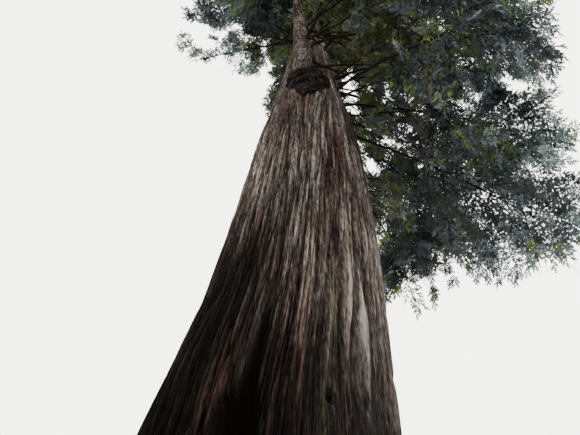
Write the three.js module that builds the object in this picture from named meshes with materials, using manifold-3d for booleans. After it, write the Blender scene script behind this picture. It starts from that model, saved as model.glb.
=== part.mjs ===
// Coast redwood, a whole tree, in millimetres with +Z up.
// The origin is the middle of the flat cut at the foot of the trunk, on level ground.
// A second stem rises from a burl on the near side, and long boughs fan out to the right (+X).

import * as THREE from 'three';
import { mergeVertices } from 'three/addons/utils/BufferGeometryUtils.js';
import Module from 'manifold-3d';

const degree = Math.PI / 180;
const goldenAngle = 137.5;
const gap = 0.3;
const sliver = 4;
const weldDistance = 0.01;
const steepest = 0.98;

// Trunk: height, radius, and how far the axis has swung to the right of the foot.
const trunkStations = [
  [0, 1560, 0],
  [1500, 1470, 50],
  [3000, 1395, 150],
  [5200, 1325, 370],
  [7100, 1243, 600],
  [9700, 1184, 830],
  [12100, 1120, 955],
  [13850, 1025, 1060],
  [16800, 815, 1165],
  [20500, 640, 1310],
  [24000, 495, 1400],
  [29000, 345, 1500],
  [34000, 180, 1580],
  [38300, 26, 1640],
];
const trunkHeight = 38300;
const trunkSides = 28;
const trunkRings = 24;
const ringCrowding = 1.3;
const flareShare = 0.15;
const flareFade = 1900;
const fluteShare = 0.018;
const fluteCount = 11;
const fluteTwist = 5200;

// Buttresses of the root flare: share, how many go round, and where the first stands.
const buttressWaves = [
  [0.6, 5, 0.9],
  [0.4, 8, 2.1],
];

// Fire hollow at the foot: height, half width, depth, and the way it faces.
const hollowStations = [
  [-120, 520, 760, -98],
  [1500, 480, 700, -98],
  [3000, 390, 600, -98],
  [4200, 270, 430, -97.5],
  [4700, 170, 280, -97],
  [5000, 75, 150, -95],
  [5600, 52, 100, -94.5],
  [6150, 12, 30, -94],
];
const hollowSides = 10;
const hollowRings = 12;

// Burl: each knob's way round the trunk, height, radius, and how much it is flattened.
const burlKnobs = [
  [-93, 15520, 420, 0.76],
  [-113, 15580, 260, 0.85],
  [-72, 15580, 290, 0.85],
  [-92, 14700, 270, 1.6],
];
const knobSeatShare = 0.96;
const knobDepthShare = 0.9;

// Second stem, from the burl up the near side of the trunk.
const stemRoute = [
  [1010, -880, 15500],
  [1010, -1080, 18000],
  [965, -1290, 22500],
  [930, -1480, 27200],
];
const stemFootRadius = 265;
const stemTipRadius = 60;
const stemSides = 8;
const stemSteps = 9;

// Boughs, in three groups. Reach and fall are measured from the axis that the bough leaves.
const boughSides = 5;
const boughSteps = 4;
const boughFootRadius = 72;
const boughTipRadius = 30;
const boughCrestShare = 0.55;
const seatPoints = 200;
const boughWave = { step: 2.4, start: 0.6, height: 160, reachShare: 0.06, fall: 220 };
const lowBoughs = {
  count: 6, firstAngle: -40, angleStep: 19, height: 15400, stagger: 1700, climb: 250,
  reach: 2000, reachStep: 0, rise: 420, fall: 200,
};
const hangingBoughs = {
  count: 2, firstAngle: 12, angleStep: 40, height: 14600, stagger: 900, climb: 0,
  reach: 1900, reachStep: -650, rise: -80, fall: 450,
};
const middleBoughs = {
  count: 4, firstAngle: -58, angleStep: 23, height: 17900, stagger: 1500, climb: 0,
  reach: 1700, reachStep: 0, rise: 420, fall: 0,
};
const spiralBoughs = {
  count: 6, firstAngle: 40, height: 18200, topHeight: 23000, reach: 1750, topReach: 1400,
  riseShare: 0.16, fallShare: 0.02,
};
const leftShare = 0.82;
const leftLift = 4600;

// Masses of foliage. Length runs along the stem, width and depth are half sizes across it.
const massLengthShare = 0.95;
const massLeastLength = 2500;
const massHalfLengthShare = 0.62;
const massWidthShare = 0.4;
const massDepthShare = 0.36;
const massCentreShare = 0.62;
const massShoulderShare = 0.4;
const massEndShare = 0.74;
const massStemSteps = 3;
const massStemFootRadius = 28;
const massStemTipRadius = 17;
const boughDroop = 0.14;
const hangingDroop = 0.22;
const spaceClearance = 0.03;
const stemMassLength = 2600;
const crownMasses = {
  count: 20, firstAngle: 188, height: 22600, topHeight: 37300, length: 4200, topLength: 1900,
  rise: 0.3, droop: 0.12,
};
const crownSeatShare = 0.75;
const leaderLength = 1600;

// Twigs along a mass's stem. Ranges are the least and most of a draw, in radians or as shares.
const twigSpacing = 1300;
const mostTwigs = 3;
const twigFirstPlace = 0.12;
const twigPlaceSpan = 0.72;
const twigFootRadius = 23;
const twigTipRadius = 17;
const twigAngle = 54 * degree;
const twigTilt = [-1.1, 0.7];
const twigLengthShare = [0.12, 0.18];
const twigFade = 1.15;
const twigSides = 3;
const drawsPerTwig = 8;

// Sprays of needles on the twigs, on the stem between them and at its end.
const sprayLeastLength = 850;
const sprayLengthShare = 0.25;
const sprayWidthShare = 0.29;
const sprayThickness = 20;
const sprayTries = [1, 1, 0.85, 0.85, 0.7, 0.7, 0.55];
const sprayRoll = [-1.2, 1.2];
const innerSprayAngle = [0.1, 0.35];
const innerSprayTurn = [-0.9, 0.9];
const stemSprayTilt = [-1.1, 0.9];
const stemSprayPlace = 0.36;
const endSprayAngle = 0.2;
const firstSprayDraw = 100;

// Outline of one spray from its foot: place along its length, and share of its half width.
const sprayOutline = [
  [-0.006, 0],
  [0.34, 1],
  [0.52, 0.42],
  [0.8, 0.68],
  [1, 0],
];
const sprayMiddle = 0.4;

const barkMaterial = new THREE.MeshStandardMaterial({ color: 0x6b5244, roughness: 0.92, metalness: 0 });
const boughMaterial = new THREE.MeshStandardMaterial({ color: 0x4a3c33, roughness: 0.9, metalness: 0 });
const foliageMaterial = new THREE.MeshStandardMaterial({ color: 0x3d4d2b, roughness: 0.7, metalness: 0 });

const up = new THREE.Vector3(0, 0, 1);
const wasm = await Module();
wasm.setup();

// A closed geometry as a solid that can be joined and cut.
function solidFrom(geometry) {
  geometry.deleteAttribute('normal');
  geometry.deleteAttribute('uv');
  const merged = mergeVertices(geometry, weldDistance);
  return new wasm.Manifold(new wasm.Mesh({
    numProp: 3,
    vertProperties: Float32Array.from(merged.attributes.position.array),
    triVerts: Uint32Array.from(merged.index.array),
  }));
}

function geometryFrom(solid) {
  const { vertProperties, triVerts } = solid.getMesh();
  const geometry = new THREE.BufferGeometry();
  geometry.setAttribute('position', new THREE.BufferAttribute(vertProperties, 3));
  geometry.setIndex(new THREE.BufferAttribute(triVerts, 1));
  geometry.computeVertexNormals();
  return geometry;
}

function joined(solids) {
  return solids.reduce((whole, piece) => whole.add(piece));
}

function largest(solid) {
  return solid.decompose().sort((a, b) => b.volume() - a.volume())[0];
}

// A smooth curve through one column of a table of stations, read at a height.
function readStations(stations, column, height) {
  const last = stations.length - 1;
  let low = 0;
  while (low < last - 1 && height > stations[low + 1][0]) low += 1;
  const slope = (index) => {
    const before = stations[Math.max(index - 1, 0)];
    const after = stations[Math.min(index + 1, last)];
    return (after[column] - before[column]) / (after[0] - before[0]);
  };
  const span = stations[low + 1][0] - stations[low][0];
  const t = THREE.MathUtils.clamp((height - stations[low][0]) / span, 0, 1);
  const ease = t * t * (3 - 2 * t);
  const level = THREE.MathUtils.lerp(stations[low][column], stations[low + 1][column], ease);
  const lean = t * (1 - t) * ((1 - t) * slope(low) - t * slope(low + 1));
  return level + span * lean;
}

// A repeatable number from 0 to 1 for one draw of one mass.
function chance(seed, draw) {
  const value = Math.sin(seed * 127.1 + draw * 311.7) * 43758.5453;
  return value - Math.floor(value);
}

function trunkAxis(height) {
  return new THREE.Vector3(readStations(trunkStations, 2, height), 0, height);
}

// The trunk's radius: its taper, the root flare's buttresses, and shallow flutes.
function trunkRadius(height, angle) {
  const flare = flareShare * Math.exp(-height / flareFade);
  const buttresses = buttressWaves.map(([share, number, start]) => share * Math.cos(number * angle + start));
  const flutes = fluteShare * Math.cos(fluteCount * angle + height / fluteTwist);
  return readStations(trunkStations, 1, height) * (1 + flare * (buttresses[0] + buttresses[1]) + flutes);
}

function trunkSolid(growth) {
  const shape = new THREE.CylinderGeometry(1, 1, 1, trunkSides, trunkRings);
  const place = shape.attributes.position;
  for (let i = 0; i < place.count; i += 1) {
    const height = trunkHeight * (place.getY(i) + 0.5) ** ringCrowding;
    const angle = Math.atan2(-place.getZ(i), place.getX(i));
    const share = Math.hypot(place.getX(i), place.getZ(i));
    const radius = share > 0.5 ? trunkRadius(height, angle) + growth : 0;
    const axis = trunkAxis(height);
    place.setXYZ(i, axis.x + radius * Math.cos(angle), axis.y + radius * Math.sin(angle), axis.z);
  }
  return solidFrom(shape);
}

// The fire hollow: an upright opening that narrows to a slit.
function hollowSolid() {
  const shape = new THREE.CylinderGeometry(1, 1, 1, hollowSides, hollowRings);
  const place = shape.attributes.position;
  const foot = hollowStations[0][0];
  const top = hollowStations[hollowStations.length - 1][0];
  for (let i = 0; i < place.count; i += 1) {
    const height = THREE.MathUtils.lerp(foot, top, place.getY(i) + 0.5);
    const halfWidth = readStations(hollowStations, 1, height);
    const depth = readStations(hollowStations, 2, height);
    const facing = readStations(hollowStations, 3, height) * degree;
    const mouth = trunkAxis(height);
    const radius = trunkRadius(height, facing);
    const outwards = new THREE.Vector3(Math.cos(facing), Math.sin(facing), 0);
    const sideways = new THREE.Vector3(-Math.sin(facing), Math.cos(facing), 0);
    mouth.addScaledVector(outwards, radius + depth * place.getX(i));
    mouth.addScaledVector(sideways, -halfWidth * place.getZ(i));
    place.setXYZ(i, mouth.x, mouth.y, mouth.z);
  }
  return solidFrom(shape);
}

function burlSolid(growth) {
  return joined(burlKnobs.map(([facing, height, radius, flattening]) => {
    const angle = facing * degree;
    const seat = trunkAxis(height);
    const out = trunkRadius(height, angle) * knobSeatShare;
    const knob = new THREE.IcosahedronGeometry(radius + growth, 1);
    knob.scale(1, knobDepthShare, flattening);
    knob.translate(seat.x + out * Math.cos(angle), seat.y + out * Math.sin(angle), height);
    return solidFrom(knob);
  }));
}

// A tapering limb along a curve, with flat ends.
function limbSolid(curve, footRadius, tipRadius, sides, steps) {
  const shape = new THREE.CylinderGeometry(1, 1, 1, sides, steps);
  const frames = curve.computeFrenetFrames(steps);
  const place = shape.attributes.position;
  for (let i = 0; i < place.count; i += 1) {
    const along = place.getY(i) + 0.5;
    const step = Math.round(along * steps);
    const radius = THREE.MathUtils.lerp(footRadius, tipRadius, along);
    const point = curve.getPointAt(along);
    point.addScaledVector(frames.normals[step], radius * place.getX(i));
    point.addScaledVector(frames.binormals[step], -radius * place.getZ(i));
    place.setXYZ(i, point.x, point.y, point.z);
  }
  return solidFrom(shape);
}

// A bough's curve: out from its seat at a height and an angle, up a little, then down to its tip.
function boughCurve(seat, angle, reach, rise, fall) {
  const outwards = new THREE.Vector3(Math.cos(angle), Math.sin(angle), 0);
  const crest = seat.clone().addScaledVector(outwards, reach * boughCrestShare).addScaledVector(up, rise);
  const tip = seat.clone().addScaledVector(outwards, reach).addScaledVector(up, -fall);
  return new THREE.QuadraticBezierCurve3(seat, crest, tip);
}

// A mass's stem: on from a foot in a direction, drooping by a share of its length.
function massFrom(foot, direction, length, droop) {
  const heading = direction.clone().normalize();
  const shoulder = foot.clone().addScaledVector(heading, length * massShoulderShare);
  const end = foot.clone().addScaledVector(heading, length * massEndShare).addScaledVector(up, -droop * length);
  const stem = new THREE.QuadraticBezierCurve3(foot, shoulder, end);
  const forward = end.clone().sub(foot).normalize();
  const across = Math.abs(forward.z) > steepest
    ? new THREE.Vector3(0, 1, 0)
    : new THREE.Vector3().crossVectors(up, forward).normalize();
  const normal = new THREE.Vector3().crossVectors(forward, across);
  const centre = foot.clone().lerp(end, massCentreShare);
  const halves = [length * massHalfLengthShare, length * massWidthShare, length * massDepthShare];
  return { stem, length, forward, across, normal, centre, halves };
}

// How far out a point lies in a mass's space: 0 at the middle, 1 at its edge.
function depthInSpace(mass, point) {
  const offset = point.clone().sub(mass.centre);
  const axes = [mass.forward, mass.across, mass.normal];
  return Math.hypot(...axes.map((axis, i) => offset.dot(axis) / mass.halves[i]));
}

// Whether points stay inside a mass's space, each nearer to its middle than to any other's.
function keepsToSpace(mass, masses, points) {
  const others = masses.filter((other) => other !== mass);
  return points.every((point) => {
    const own = depthInSpace(mass, point);
    return own < 1 && others.every((other) => depthInSpace(other, point) > own + spaceClearance);
  });
}

// One spray of needles: a toothed blade, thickest along its middle.
function sprayCorners(foot, heading, across, length) {
  const corner = ([along, width], side) => foot.clone()
    .addScaledVector(heading, along * length)
    .addScaledVector(across, side * width * sprayWidthShare * length);
  const oneSide = sprayOutline.map((entry) => corner(entry, -1));
  const otherSide = sprayOutline.slice(1, -1).reverse().map((entry) => corner(entry, 1));
  return [...oneSide, ...otherSide];
}

function spraySolid(corners, foot, heading, across, length) {
  const normal = new THREE.Vector3().crossVectors(heading, across).normalize();
  const middle = foot.clone().addScaledVector(heading, sprayMiddle * length);
  const shape = new THREE.SphereGeometry(1, corners.length, 2);
  const place = shape.attributes.position;
  for (let i = 0; i < place.count; i += 1) {
    const pole = place.getY(i);
    const onRim = Math.abs(pole) < 0.5;
    const column = i % (corners.length + 1) % corners.length;
    const point = onRim ? corners[column] : middle.clone().addScaledVector(normal, pole * sprayThickness / 2);
    place.setXYZ(i, point.x, point.y, point.z);
  }
  return solidFrom(shape);
}

function stemOf(mass) {
  return limbSolid(mass.stem, massStemFootRadius, massStemTipRadius, twigSides, massStemSteps);
}

// The twigs of one mass leave its stem to the left and right in turn, tilted up or down, with two
// sprays each. More sprays stand on the stem between them and at its end. A twig is skipped, and a
// spray is turned and shortened and then skipped, if it would leave the mass's space, touch a limb
// or cross another spray.
function growMass(mass, masses, limbs, seed, twigs) {
  const twigSolids = [];
  const sprays = [];
  const spraySize = sprayLeastLength + sprayLengthShare * mass.length;
  const draw = (number, [least, most]) => THREE.MathUtils.lerp(least, most, chance(seed, number));
  const crosses = (solids, solid) => solids.some((other) => touches(other, solid));
  const fits = (solid, points) => keepsToSpace(mass, masses, points) && !crosses(limbs, solid);
  let number = firstSprayDraw;
  const addSpray = (foot, heading, host) => {
    const others = [...twigSolids.filter((twig) => twig !== host), ...sprays];
    const across = new THREE.Vector3().crossVectors(mass.normal, heading).normalize();
    for (const share of sprayTries) {
      number += 1;
      const rolled = across.clone().applyAxisAngle(heading, draw(number, sprayRoll));
      const length = spraySize * share;
      const corners = sprayCorners(foot, heading, rolled, length);
      const spray = spraySolid(corners, foot, heading, rolled, length);
      if (fits(spray, corners.slice(1)) && !crosses(others, spray)) {
        sprays.push(spray);
        return;
      }
    }
  };
  const sideHeading = (along, side, angle, tilt) => {
    const sideways = mass.across.clone().multiplyScalar(side * Math.cos(tilt));
    sideways.addScaledVector(mass.normal, Math.sin(tilt));
    const heading = mass.stem.getTangentAt(along).multiplyScalar(Math.cos(angle));
    return heading.addScaledVector(sideways, Math.sin(angle)).normalize();
  };
  for (let index = 0; index < twigs; index += 1) {
    const side = index % 2 === 0 ? 1 : -1;
    const along = twigFirstPlace + twigPlaceSpan * (index + 0.5) / twigs;
    const firstDraw = drawsPerTwig * index;
    const foot = mass.stem.getPointAt(along);
    const tilt = draw(firstDraw, twigTilt);
    const length = mass.length * draw(firstDraw + 1, twigLengthShare) * (twigFade - along);
    const heading = sideHeading(along, side, twigAngle, tilt);
    const tip = foot.clone().addScaledVector(heading, length);
    const twig = limbSolid(new THREE.LineCurve3(foot, tip), twigFootRadius, twigTipRadius, twigSides, 1);
    if (fits(twig, [tip])) {
      const innerTilt = tilt + draw(firstDraw + 3, innerSprayTurn);
      const inner = sideHeading(along, side, draw(firstDraw + 2, innerSprayAngle), innerTilt);
      twigSolids.push(twig);
      addSpray(tip.clone().addScaledVector(heading, -twigTipRadius), heading, twig);
      addSpray(foot.clone().lerp(tip, 0.5), inner, twig);
    }
    const between = along + stemSprayPlace / twigs;
    const stemTilt = draw(firstDraw + 4, stemSprayTilt);
    addSpray(mass.stem.getPointAt(between), sideHeading(between, -side, twigAngle, stemTilt));
  }
  const end = mass.stem.getPointAt(1).addScaledVector(mass.stem.getTangentAt(1), -massStemTipRadius);
  addSpray(end, sideHeading(1, 1, endSprayAngle, 0));
  return joined([stemOf(mass), ...twigSolids, ...sprays]);
}

// Whether two solids meet, asked of their boxes first.
function touches(first, second) {
  const a = first.boundingBox();
  const b = second.boundingBox();
  const apart = [0, 1, 2].some((axis) => a.min[axis] > b.max[axis] || b.min[axis] > a.max[axis]);
  return !apart && !first.intersect(second).isEmpty();
}

// The boughs of one group, side by side, each waved a little from the last.
function boughGroup(group, seatAt) {
  const { firstAngle, angleStep, height, stagger, climb, reach, reachStep, rise, fall } = group;
  return Array.from({ length: group.count }, (_, i) => {
    const wave = Math.sin(boughWave.step * i + boughWave.start);
    const seat = seatAt(height + climb * i + stagger * (i % 2) + boughWave.height * wave);
    const angle = (firstAngle + angleStep * i) * degree;
    const ownReach = (reach + reachStep * i) * (1 + boughWave.reachShare * wave);
    return boughCurve(seat, angle, ownReach, rise, fall + boughWave.fall * wave);
  });
}

// Boughs that climb the trunk in a spiral, shorter with height and on the left.
function spiralGroup({ count, firstAngle, height, topHeight, reach, topReach, riseShare, fallShare }) {
  return Array.from({ length: count }, (_, i) => {
    const rank = i / (count - 1);
    const angle = (firstAngle + goldenAngle * i) * degree;
    const leftness = Math.max(0, -Math.cos(angle));
    const ownReach = THREE.MathUtils.lerp(reach, topReach, rank) * (1 - (1 - leftShare) * leftness);
    const seatHeight = THREE.MathUtils.lerp(height, topHeight, rank) + leftLift * leftness * (1 - rank);
    return boughCurve(trunkAxis(seatHeight), angle, ownReach, riseShare * ownReach, fallShare * ownReach);
  });
}

// The point of a curve nearest to a height.
function stemSeat(curve) {
  const points = curve.getPoints(seatPoints);
  return (height) => points.reduce((best, point) => (
    Math.abs(point.z - height) < Math.abs(best.z - height) ? point : best
  ));
}

// The node's mesh, with its geometry about the node's own seat.
function nodeMesh(name, solid, seat, material) {
  const geometry = geometryFrom(solid);
  geometry.translate(-seat.x, -seat.y, -seat.z);
  const mesh = new THREE.Mesh(geometry, material);
  mesh.name = name;
  mesh.position.copy(seat);
  return mesh;
}

function twoDigits(number) {
  return String(number).padStart(2, '0');
}

// Limbs.
const stemCurve = new THREE.CatmullRomCurve3(stemRoute.map((point) => new THREE.Vector3(...point)));
const trunk = trunkSolid(0).subtract(hollowSolid()).add(burlSolid(0));
const trunkSeat = trunkSolid(gap).add(burlSolid(gap));
const stemWhole = limbSolid(stemCurve, stemFootRadius, stemTipRadius, stemSides, stemSteps);
const stem = largest(stemWhole.subtract(trunkSeat));
const stemClear = limbSolid(stemCurve, stemFootRadius + gap, stemTipRadius + gap, stemSides, stemSteps);

const boughCurves = [
  ...boughGroup(lowBoughs, trunkAxis),
  ...boughGroup(hangingBoughs, trunkAxis),
  ...boughGroup(middleBoughs, stemSeat(stemCurve)),
  ...spiralGroup(spiralBoughs),
];
const boughs = boughCurves.map((curve) => {
  const whole = limbSolid(curve, boughFootRadius, boughTipRadius, boughSides, boughSteps);
  return largest(whole.subtract(trunkSeat).subtract(stemClear));
});

// Foliage: one mass on each bough's tip and on the second stem, then those on the trunk itself.
const boughMasses = boughCurves.map((curve, i) => {
  const heading = curve.getTangentAt(1);
  const foot = curve.getPointAt(1).addScaledVector(heading, gap);
  const hanging = i >= lowBoughs.count && i < lowBoughs.count + hangingBoughs.count;
  const reach = curve.getPointAt(0).setZ(0).distanceTo(curve.getPointAt(1).setZ(0));
  const length = massLeastLength + massLengthShare * reach;
  return massFrom(foot, heading, length, hanging ? hangingDroop : boughDroop);
});
const stemMass = massFrom(
  stemCurve.getPointAt(1).addScaledVector(stemCurve.getTangentAt(1), gap),
  stemCurve.getTangentAt(1),
  stemMassLength,
  0,
);
const trunkMasses = Array.from({ length: crownMasses.count }, (_, i) => {
  const rank = i / (crownMasses.count - 1);
  const angle = (crownMasses.firstAngle + goldenAngle * i) * degree;
  const height = THREE.MathUtils.lerp(crownMasses.height, crownMasses.topHeight, rank);
  const length = THREE.MathUtils.lerp(crownMasses.length, crownMasses.topLength, rank);
  const heading = new THREE.Vector3(Math.cos(angle), Math.sin(angle), crownMasses.rise);
  const seat = trunkAxis(height).addScaledVector(heading, crownSeatShare * trunkRadius(height, angle));
  return massFrom(seat, heading, length, crownMasses.droop);
});
const leader = massFrom(trunkAxis(trunkHeight).addScaledVector(up, gap), up, leaderLength, 0);
const masses = [...boughMasses, stemMass, ...trunkMasses, leader];
const limbs = [trunkSeat, stemClear, ...boughs];
const massStems = masses.map(stemOf);

const tree = new THREE.Group();
tree.add(nodeMesh('trunk', trunk, new THREE.Vector3(), barkMaterial));
tree.add(nodeMesh('side_stem', stem, stemCurve.getPointAt(0), barkMaterial.clone()));
boughs.forEach((bough, i) => {
  const seat = boughCurves[i].getPointAt(0);
  tree.add(nodeMesh(`bough_${twoDigits(i + 1)}`, bough, seat, boughMaterial.clone()));
});
masses.forEach((mass, i) => {
  const twigs = THREE.MathUtils.clamp(Math.round(mass.length / twigSpacing), 1, mostTwigs);
  const otherStems = massStems.filter((_, other) => other !== i);
  const grown = growMass(mass, masses, [...limbs, ...otherStems], i + 1, twigs);
  const clear = largest(grown.subtract(trunkSeat).simplify(sliver));
  const seat = mass.stem.getPointAt(0);
  tree.add(nodeMesh(`foliage_${twoDigits(i + 1)}`, clear, seat, foliageMaterial.clone()));
});

export default tree;
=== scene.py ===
import math

import bpy
import numpy as np
from mathutils import Matrix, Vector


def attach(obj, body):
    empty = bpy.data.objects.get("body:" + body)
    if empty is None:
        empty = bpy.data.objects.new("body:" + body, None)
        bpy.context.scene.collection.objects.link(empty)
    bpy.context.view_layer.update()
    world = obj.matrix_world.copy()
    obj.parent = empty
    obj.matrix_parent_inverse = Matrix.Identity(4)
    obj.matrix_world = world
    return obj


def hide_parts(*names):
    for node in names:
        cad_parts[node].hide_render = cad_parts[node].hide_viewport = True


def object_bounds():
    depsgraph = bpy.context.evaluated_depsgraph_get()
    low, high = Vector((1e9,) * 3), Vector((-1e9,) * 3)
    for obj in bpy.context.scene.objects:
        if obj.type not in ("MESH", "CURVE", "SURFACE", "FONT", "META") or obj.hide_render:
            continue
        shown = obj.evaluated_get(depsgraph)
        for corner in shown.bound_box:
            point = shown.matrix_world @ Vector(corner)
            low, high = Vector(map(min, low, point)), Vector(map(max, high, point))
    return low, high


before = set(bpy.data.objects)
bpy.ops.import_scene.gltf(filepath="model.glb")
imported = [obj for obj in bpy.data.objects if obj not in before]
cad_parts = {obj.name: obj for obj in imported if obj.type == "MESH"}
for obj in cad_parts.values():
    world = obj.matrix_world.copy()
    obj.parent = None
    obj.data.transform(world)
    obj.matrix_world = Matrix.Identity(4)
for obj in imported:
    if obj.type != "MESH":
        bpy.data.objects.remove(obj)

# Coast redwood seen from its foot: furrowed bark, a burl with a side stem, boughs and sprays of needles.
# Metres, +Z up, origin at the middle of the foot of the trunk. The camera stands on the -Y side.

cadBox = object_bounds()
nodeNames = sorted(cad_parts)
boughNodes = [name for name in nodeNames if name.startswith("bough")]
foliageNodes = [name for name in nodeNames if name.startswith("foliage")]
upward = np.array([0.0, 0.0, 1.0])
fullTurn = 2 * math.pi
goldenAngle = 137.5


# Numbers that repeat from run to run.

# Far from round, so that no pattern shows.
chanceSteps = {"column": 127.1, "row": 311.7, "layer": 61, "seed": 74.7, "stretch": 43758.5453}
cellPoint = {"edge": 0.1, "span": 0.8, "alongSeed": 0.37, "ownSeed": 0.71}  # where a cell's point may stand


def latticeChance(column, row, seed):
    # the same number from 0 to 1 for the same place and seed: what follows the point in a stretched sine
    wave = np.sin(column * chanceSteps["column"] + row * chanceSteps["row"] + seed * chanceSteps["seed"])
    value = wave * chanceSteps["stretch"]
    return value - np.floor(value)


def draws(seed, number, low, high):  # from low to high, each number with a chance value of its own
    return low + (high - low) * latticeChance(seed, np.asarray(number), 0)


def eased(t):  # 3 t^2 - 2 t^3, from 0 to 1 with a smooth start and end
    return t * t * (3 - 2 * t)


def wovenNoise(across, along, period, seed):
    # smooth noise on a grid of cells: four corner numbers blended, the columns repeating every period
    column, row = np.floor(across), np.floor(along)
    x, y = eased(across - column), eased(along - row)
    left, right = np.mod(column, period), np.mod(column + 1, period)
    low = latticeChance(left, row, seed) * (1 - x) + latticeChance(right, row, seed) * x
    high = latticeChance(left, row + 1, seed) * (1 - x) + latticeChance(right, row + 1, seed) * x
    return low * (1 - y) + high * y


def splitCells(across, along, period, seed):
    # each cell of a grid holds one point; what comes back is how much farther the second nearest point is
    # than the nearest, 0 along the borders between points, and a chance number of the nearest point's own
    column, row = np.floor(across), np.floor(along)
    nearest, second = np.full(across.shape, np.inf), np.full(across.shape, np.inf)
    ownChance = np.zeros(across.shape)
    for i in (-1, 0, 1):
        for j in (-1, 0, 1):
            ownColumn, ownRow = np.mod(column + i, period), row + j
            drawn = latticeChance(ownColumn, ownRow, seed)
            x = column + i + cellPoint["edge"] + cellPoint["span"] * drawn - across
            y = ownRow + latticeChance(ownColumn, ownRow, seed + cellPoint["alongSeed"]) - along
            distance = np.hypot(x, y)
            isNearest = distance < nearest
            second = np.where(isNearest, nearest, np.minimum(second, distance))
            nearest = np.where(isNearest, distance, nearest)
            drawn = latticeChance(ownColumn, ownRow, seed + cellPoint["ownSeed"])
            ownChance = np.where(isNearest, drawn, ownChance)
    return second - nearest, ownChance


def roomNoise(points, size, seed):  # smooth noise in a room of cubes: eight corner numbers blended
    place = points / size
    cell = np.floor(place)
    t = eased(place - cell)
    total = np.zeros(points.shape[:-1])
    for corner in np.ndindex(2, 2, 2):
        weight = np.where(corner, t, 1 - t).prod(axis=-1)
        x, y, z = np.moveaxis(cell + corner, -1, 0)
        total += weight * latticeChance(x + chanceSteps["layer"] * z, y, seed)
    return total


def readStations(stations, column, height):
    # a smooth curve through one column of a table: a cubic whose slope at a station joins its neighbours
    table = np.array(stations, float)
    places, values = table[:, 0], table[:, column]
    before = np.maximum(np.arange(len(places)) - 1, 0)
    after = np.minimum(np.arange(len(places)) + 1, len(places) - 1)
    slopes = (values[after] - values[before]) / (places[after] - places[before])
    low = np.clip(np.searchsorted(places, height) - 1, 0, len(places) - 2)
    span = places[low + 1] - places[low]
    t = np.clip((height - places[low]) / span, 0, 1)
    lean = t * (1 - t) * ((1 - t) * slopes[low] - t * slopes[low + 1])
    return values[low] * (1 - eased(t)) + values[low + 1] * eased(t) + span * lean


def unit(vectors):
    return vectors / np.maximum(np.linalg.norm(vectors, axis=-1, keepdims=True), 1e-9)


def mix(first, second, share):
    return first + (second - first) * share


def fade(value, start, end):  # 0 at start, 1 at end, smooth between
    return eased(np.clip((value - start) / (end - start), 0, 1))


def angleFrom(angle, degrees):  # how far an angle lies from one given in degrees, the short way round
    return np.mod(angle - np.radians(degrees) + math.pi, fullTurn) - math.pi


def turned(first, second, angle):  # first turned towards second: first x cos + second x sin
    return first * np.cos(angle)[..., None] + second * np.sin(angle)[..., None]


def outward(angle, rise=0.0):  # a heading away from the trunk
    return np.array([math.cos(angle), math.sin(angle), rise])


def leftRight(number):  # 1 and -1 in turn
    return np.where(number % 2 == 0, 1.0, -1.0)


# Meshes from arrays.

def addObject(name, data):  # at the origin, in the scene
    thing = bpy.data.objects.new(name, data)
    bpy.context.scene.collection.objects.link(thing)
    return thing


def addPiece(name, points, faces, finish, nodes, smooth=True, values=None):
    mesh = bpy.data.meshes.new(name)
    mesh.vertices.add(len(points))
    mesh.vertices.foreach_set("co", np.ascontiguousarray(points, np.float32).ravel())
    corners = np.ascontiguousarray(faces, np.int32)
    mesh.loops.add(corners.size)
    mesh.loops.foreach_set("vertex_index", corners.ravel())
    mesh.polygons.add(len(corners))
    mesh.polygons.foreach_set("loop_start", np.arange(len(corners), dtype=np.int32) * corners.shape[1])
    mesh.polygons.foreach_set("use_smooth", np.full(len(corners), smooth))
    mesh.update(calc_edges=True)
    for valueName, numbers in (values or {}).items():
        attribute = mesh.attributes.new(valueName, "FLOAT", "POINT")
        attribute.data.foreach_set("value", np.ascontiguousarray(numbers, np.float32).ravel())
    mesh.materials.append(finish)
    piece = addObject(name, mesh)
    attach(piece, "root")
    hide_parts(*nodes)
    print(f"{name}: {len(corners)} triangles")


def skinRings(rings, footCap=True, tipCap=True):
    # rings of points (piece, row, column, 3), counter-clockwise seen from the tip, joined by triangles;
    # an end is closed by a fan round the middle of its ring
    pieces, rows, columns, _ = rings.shape
    index = np.arange(rows * columns).reshape(rows, columns)
    following = np.roll(index, -1, axis=1)
    a, b, c, d = index[:-1], following[:-1], following[1:], index[1:]
    faces = [np.stack([a, b, c], -1).reshape(-1, 3), np.stack([a, c, d], -1).reshape(-1, 3)]
    points = [rings.reshape(pieces, rows * columns, 3)]
    size = rows * columns
    for isCapped, row, first, second in ((footCap, 0, following, index), (tipCap, -1, index, following)):
        if isCapped:
            middle = np.full(columns, size)
            faces.append(np.stack([middle, first[row], second[row]], -1))
            points.append(rings[:, row].mean(axis=1)[:, None])
            size += 1
    faces = np.concatenate(faces)
    allFaces = faces[None] + (np.arange(pieces) * size)[:, None, None]
    return np.concatenate(points, axis=1).reshape(-1, 3), allFaces.reshape(-1, 3)


def tubeRings(routes, radii, sides):
    # a circle of each station's radius, square to the route there: route + r (cos a side + sin a other)
    forward = unit(np.gradient(routes, axis=1))
    isSteep = np.abs(forward[..., 2:3]) > 0.95  # too near to upright for upward to be a guide
    guide = np.where(isSteep, np.array([1.0, 0, 0]), upward)
    side = unit(np.cross(guide, forward))
    other = np.cross(forward, side)
    turn = np.arange(sides) * fullTurn / sides
    circle = turned(side[..., None, :], other[..., None, :], turn)
    return routes[..., None, :] + circle * radii[..., None, None]


# Finishes.

def startFinish(name):
    finish = bpy.data.materials.new(name)
    finish.use_nodes = True
    return finish, finish.node_tree, finish.node_tree.nodes["Principled BSDF"]


def feed(tree, socket, value):  # a link where the value comes from another node, and else the value itself
    if isinstance(value, bpy.types.NodeSocket):
        tree.links.new(value, socket)
    else:
        socket.default_value = value


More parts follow.
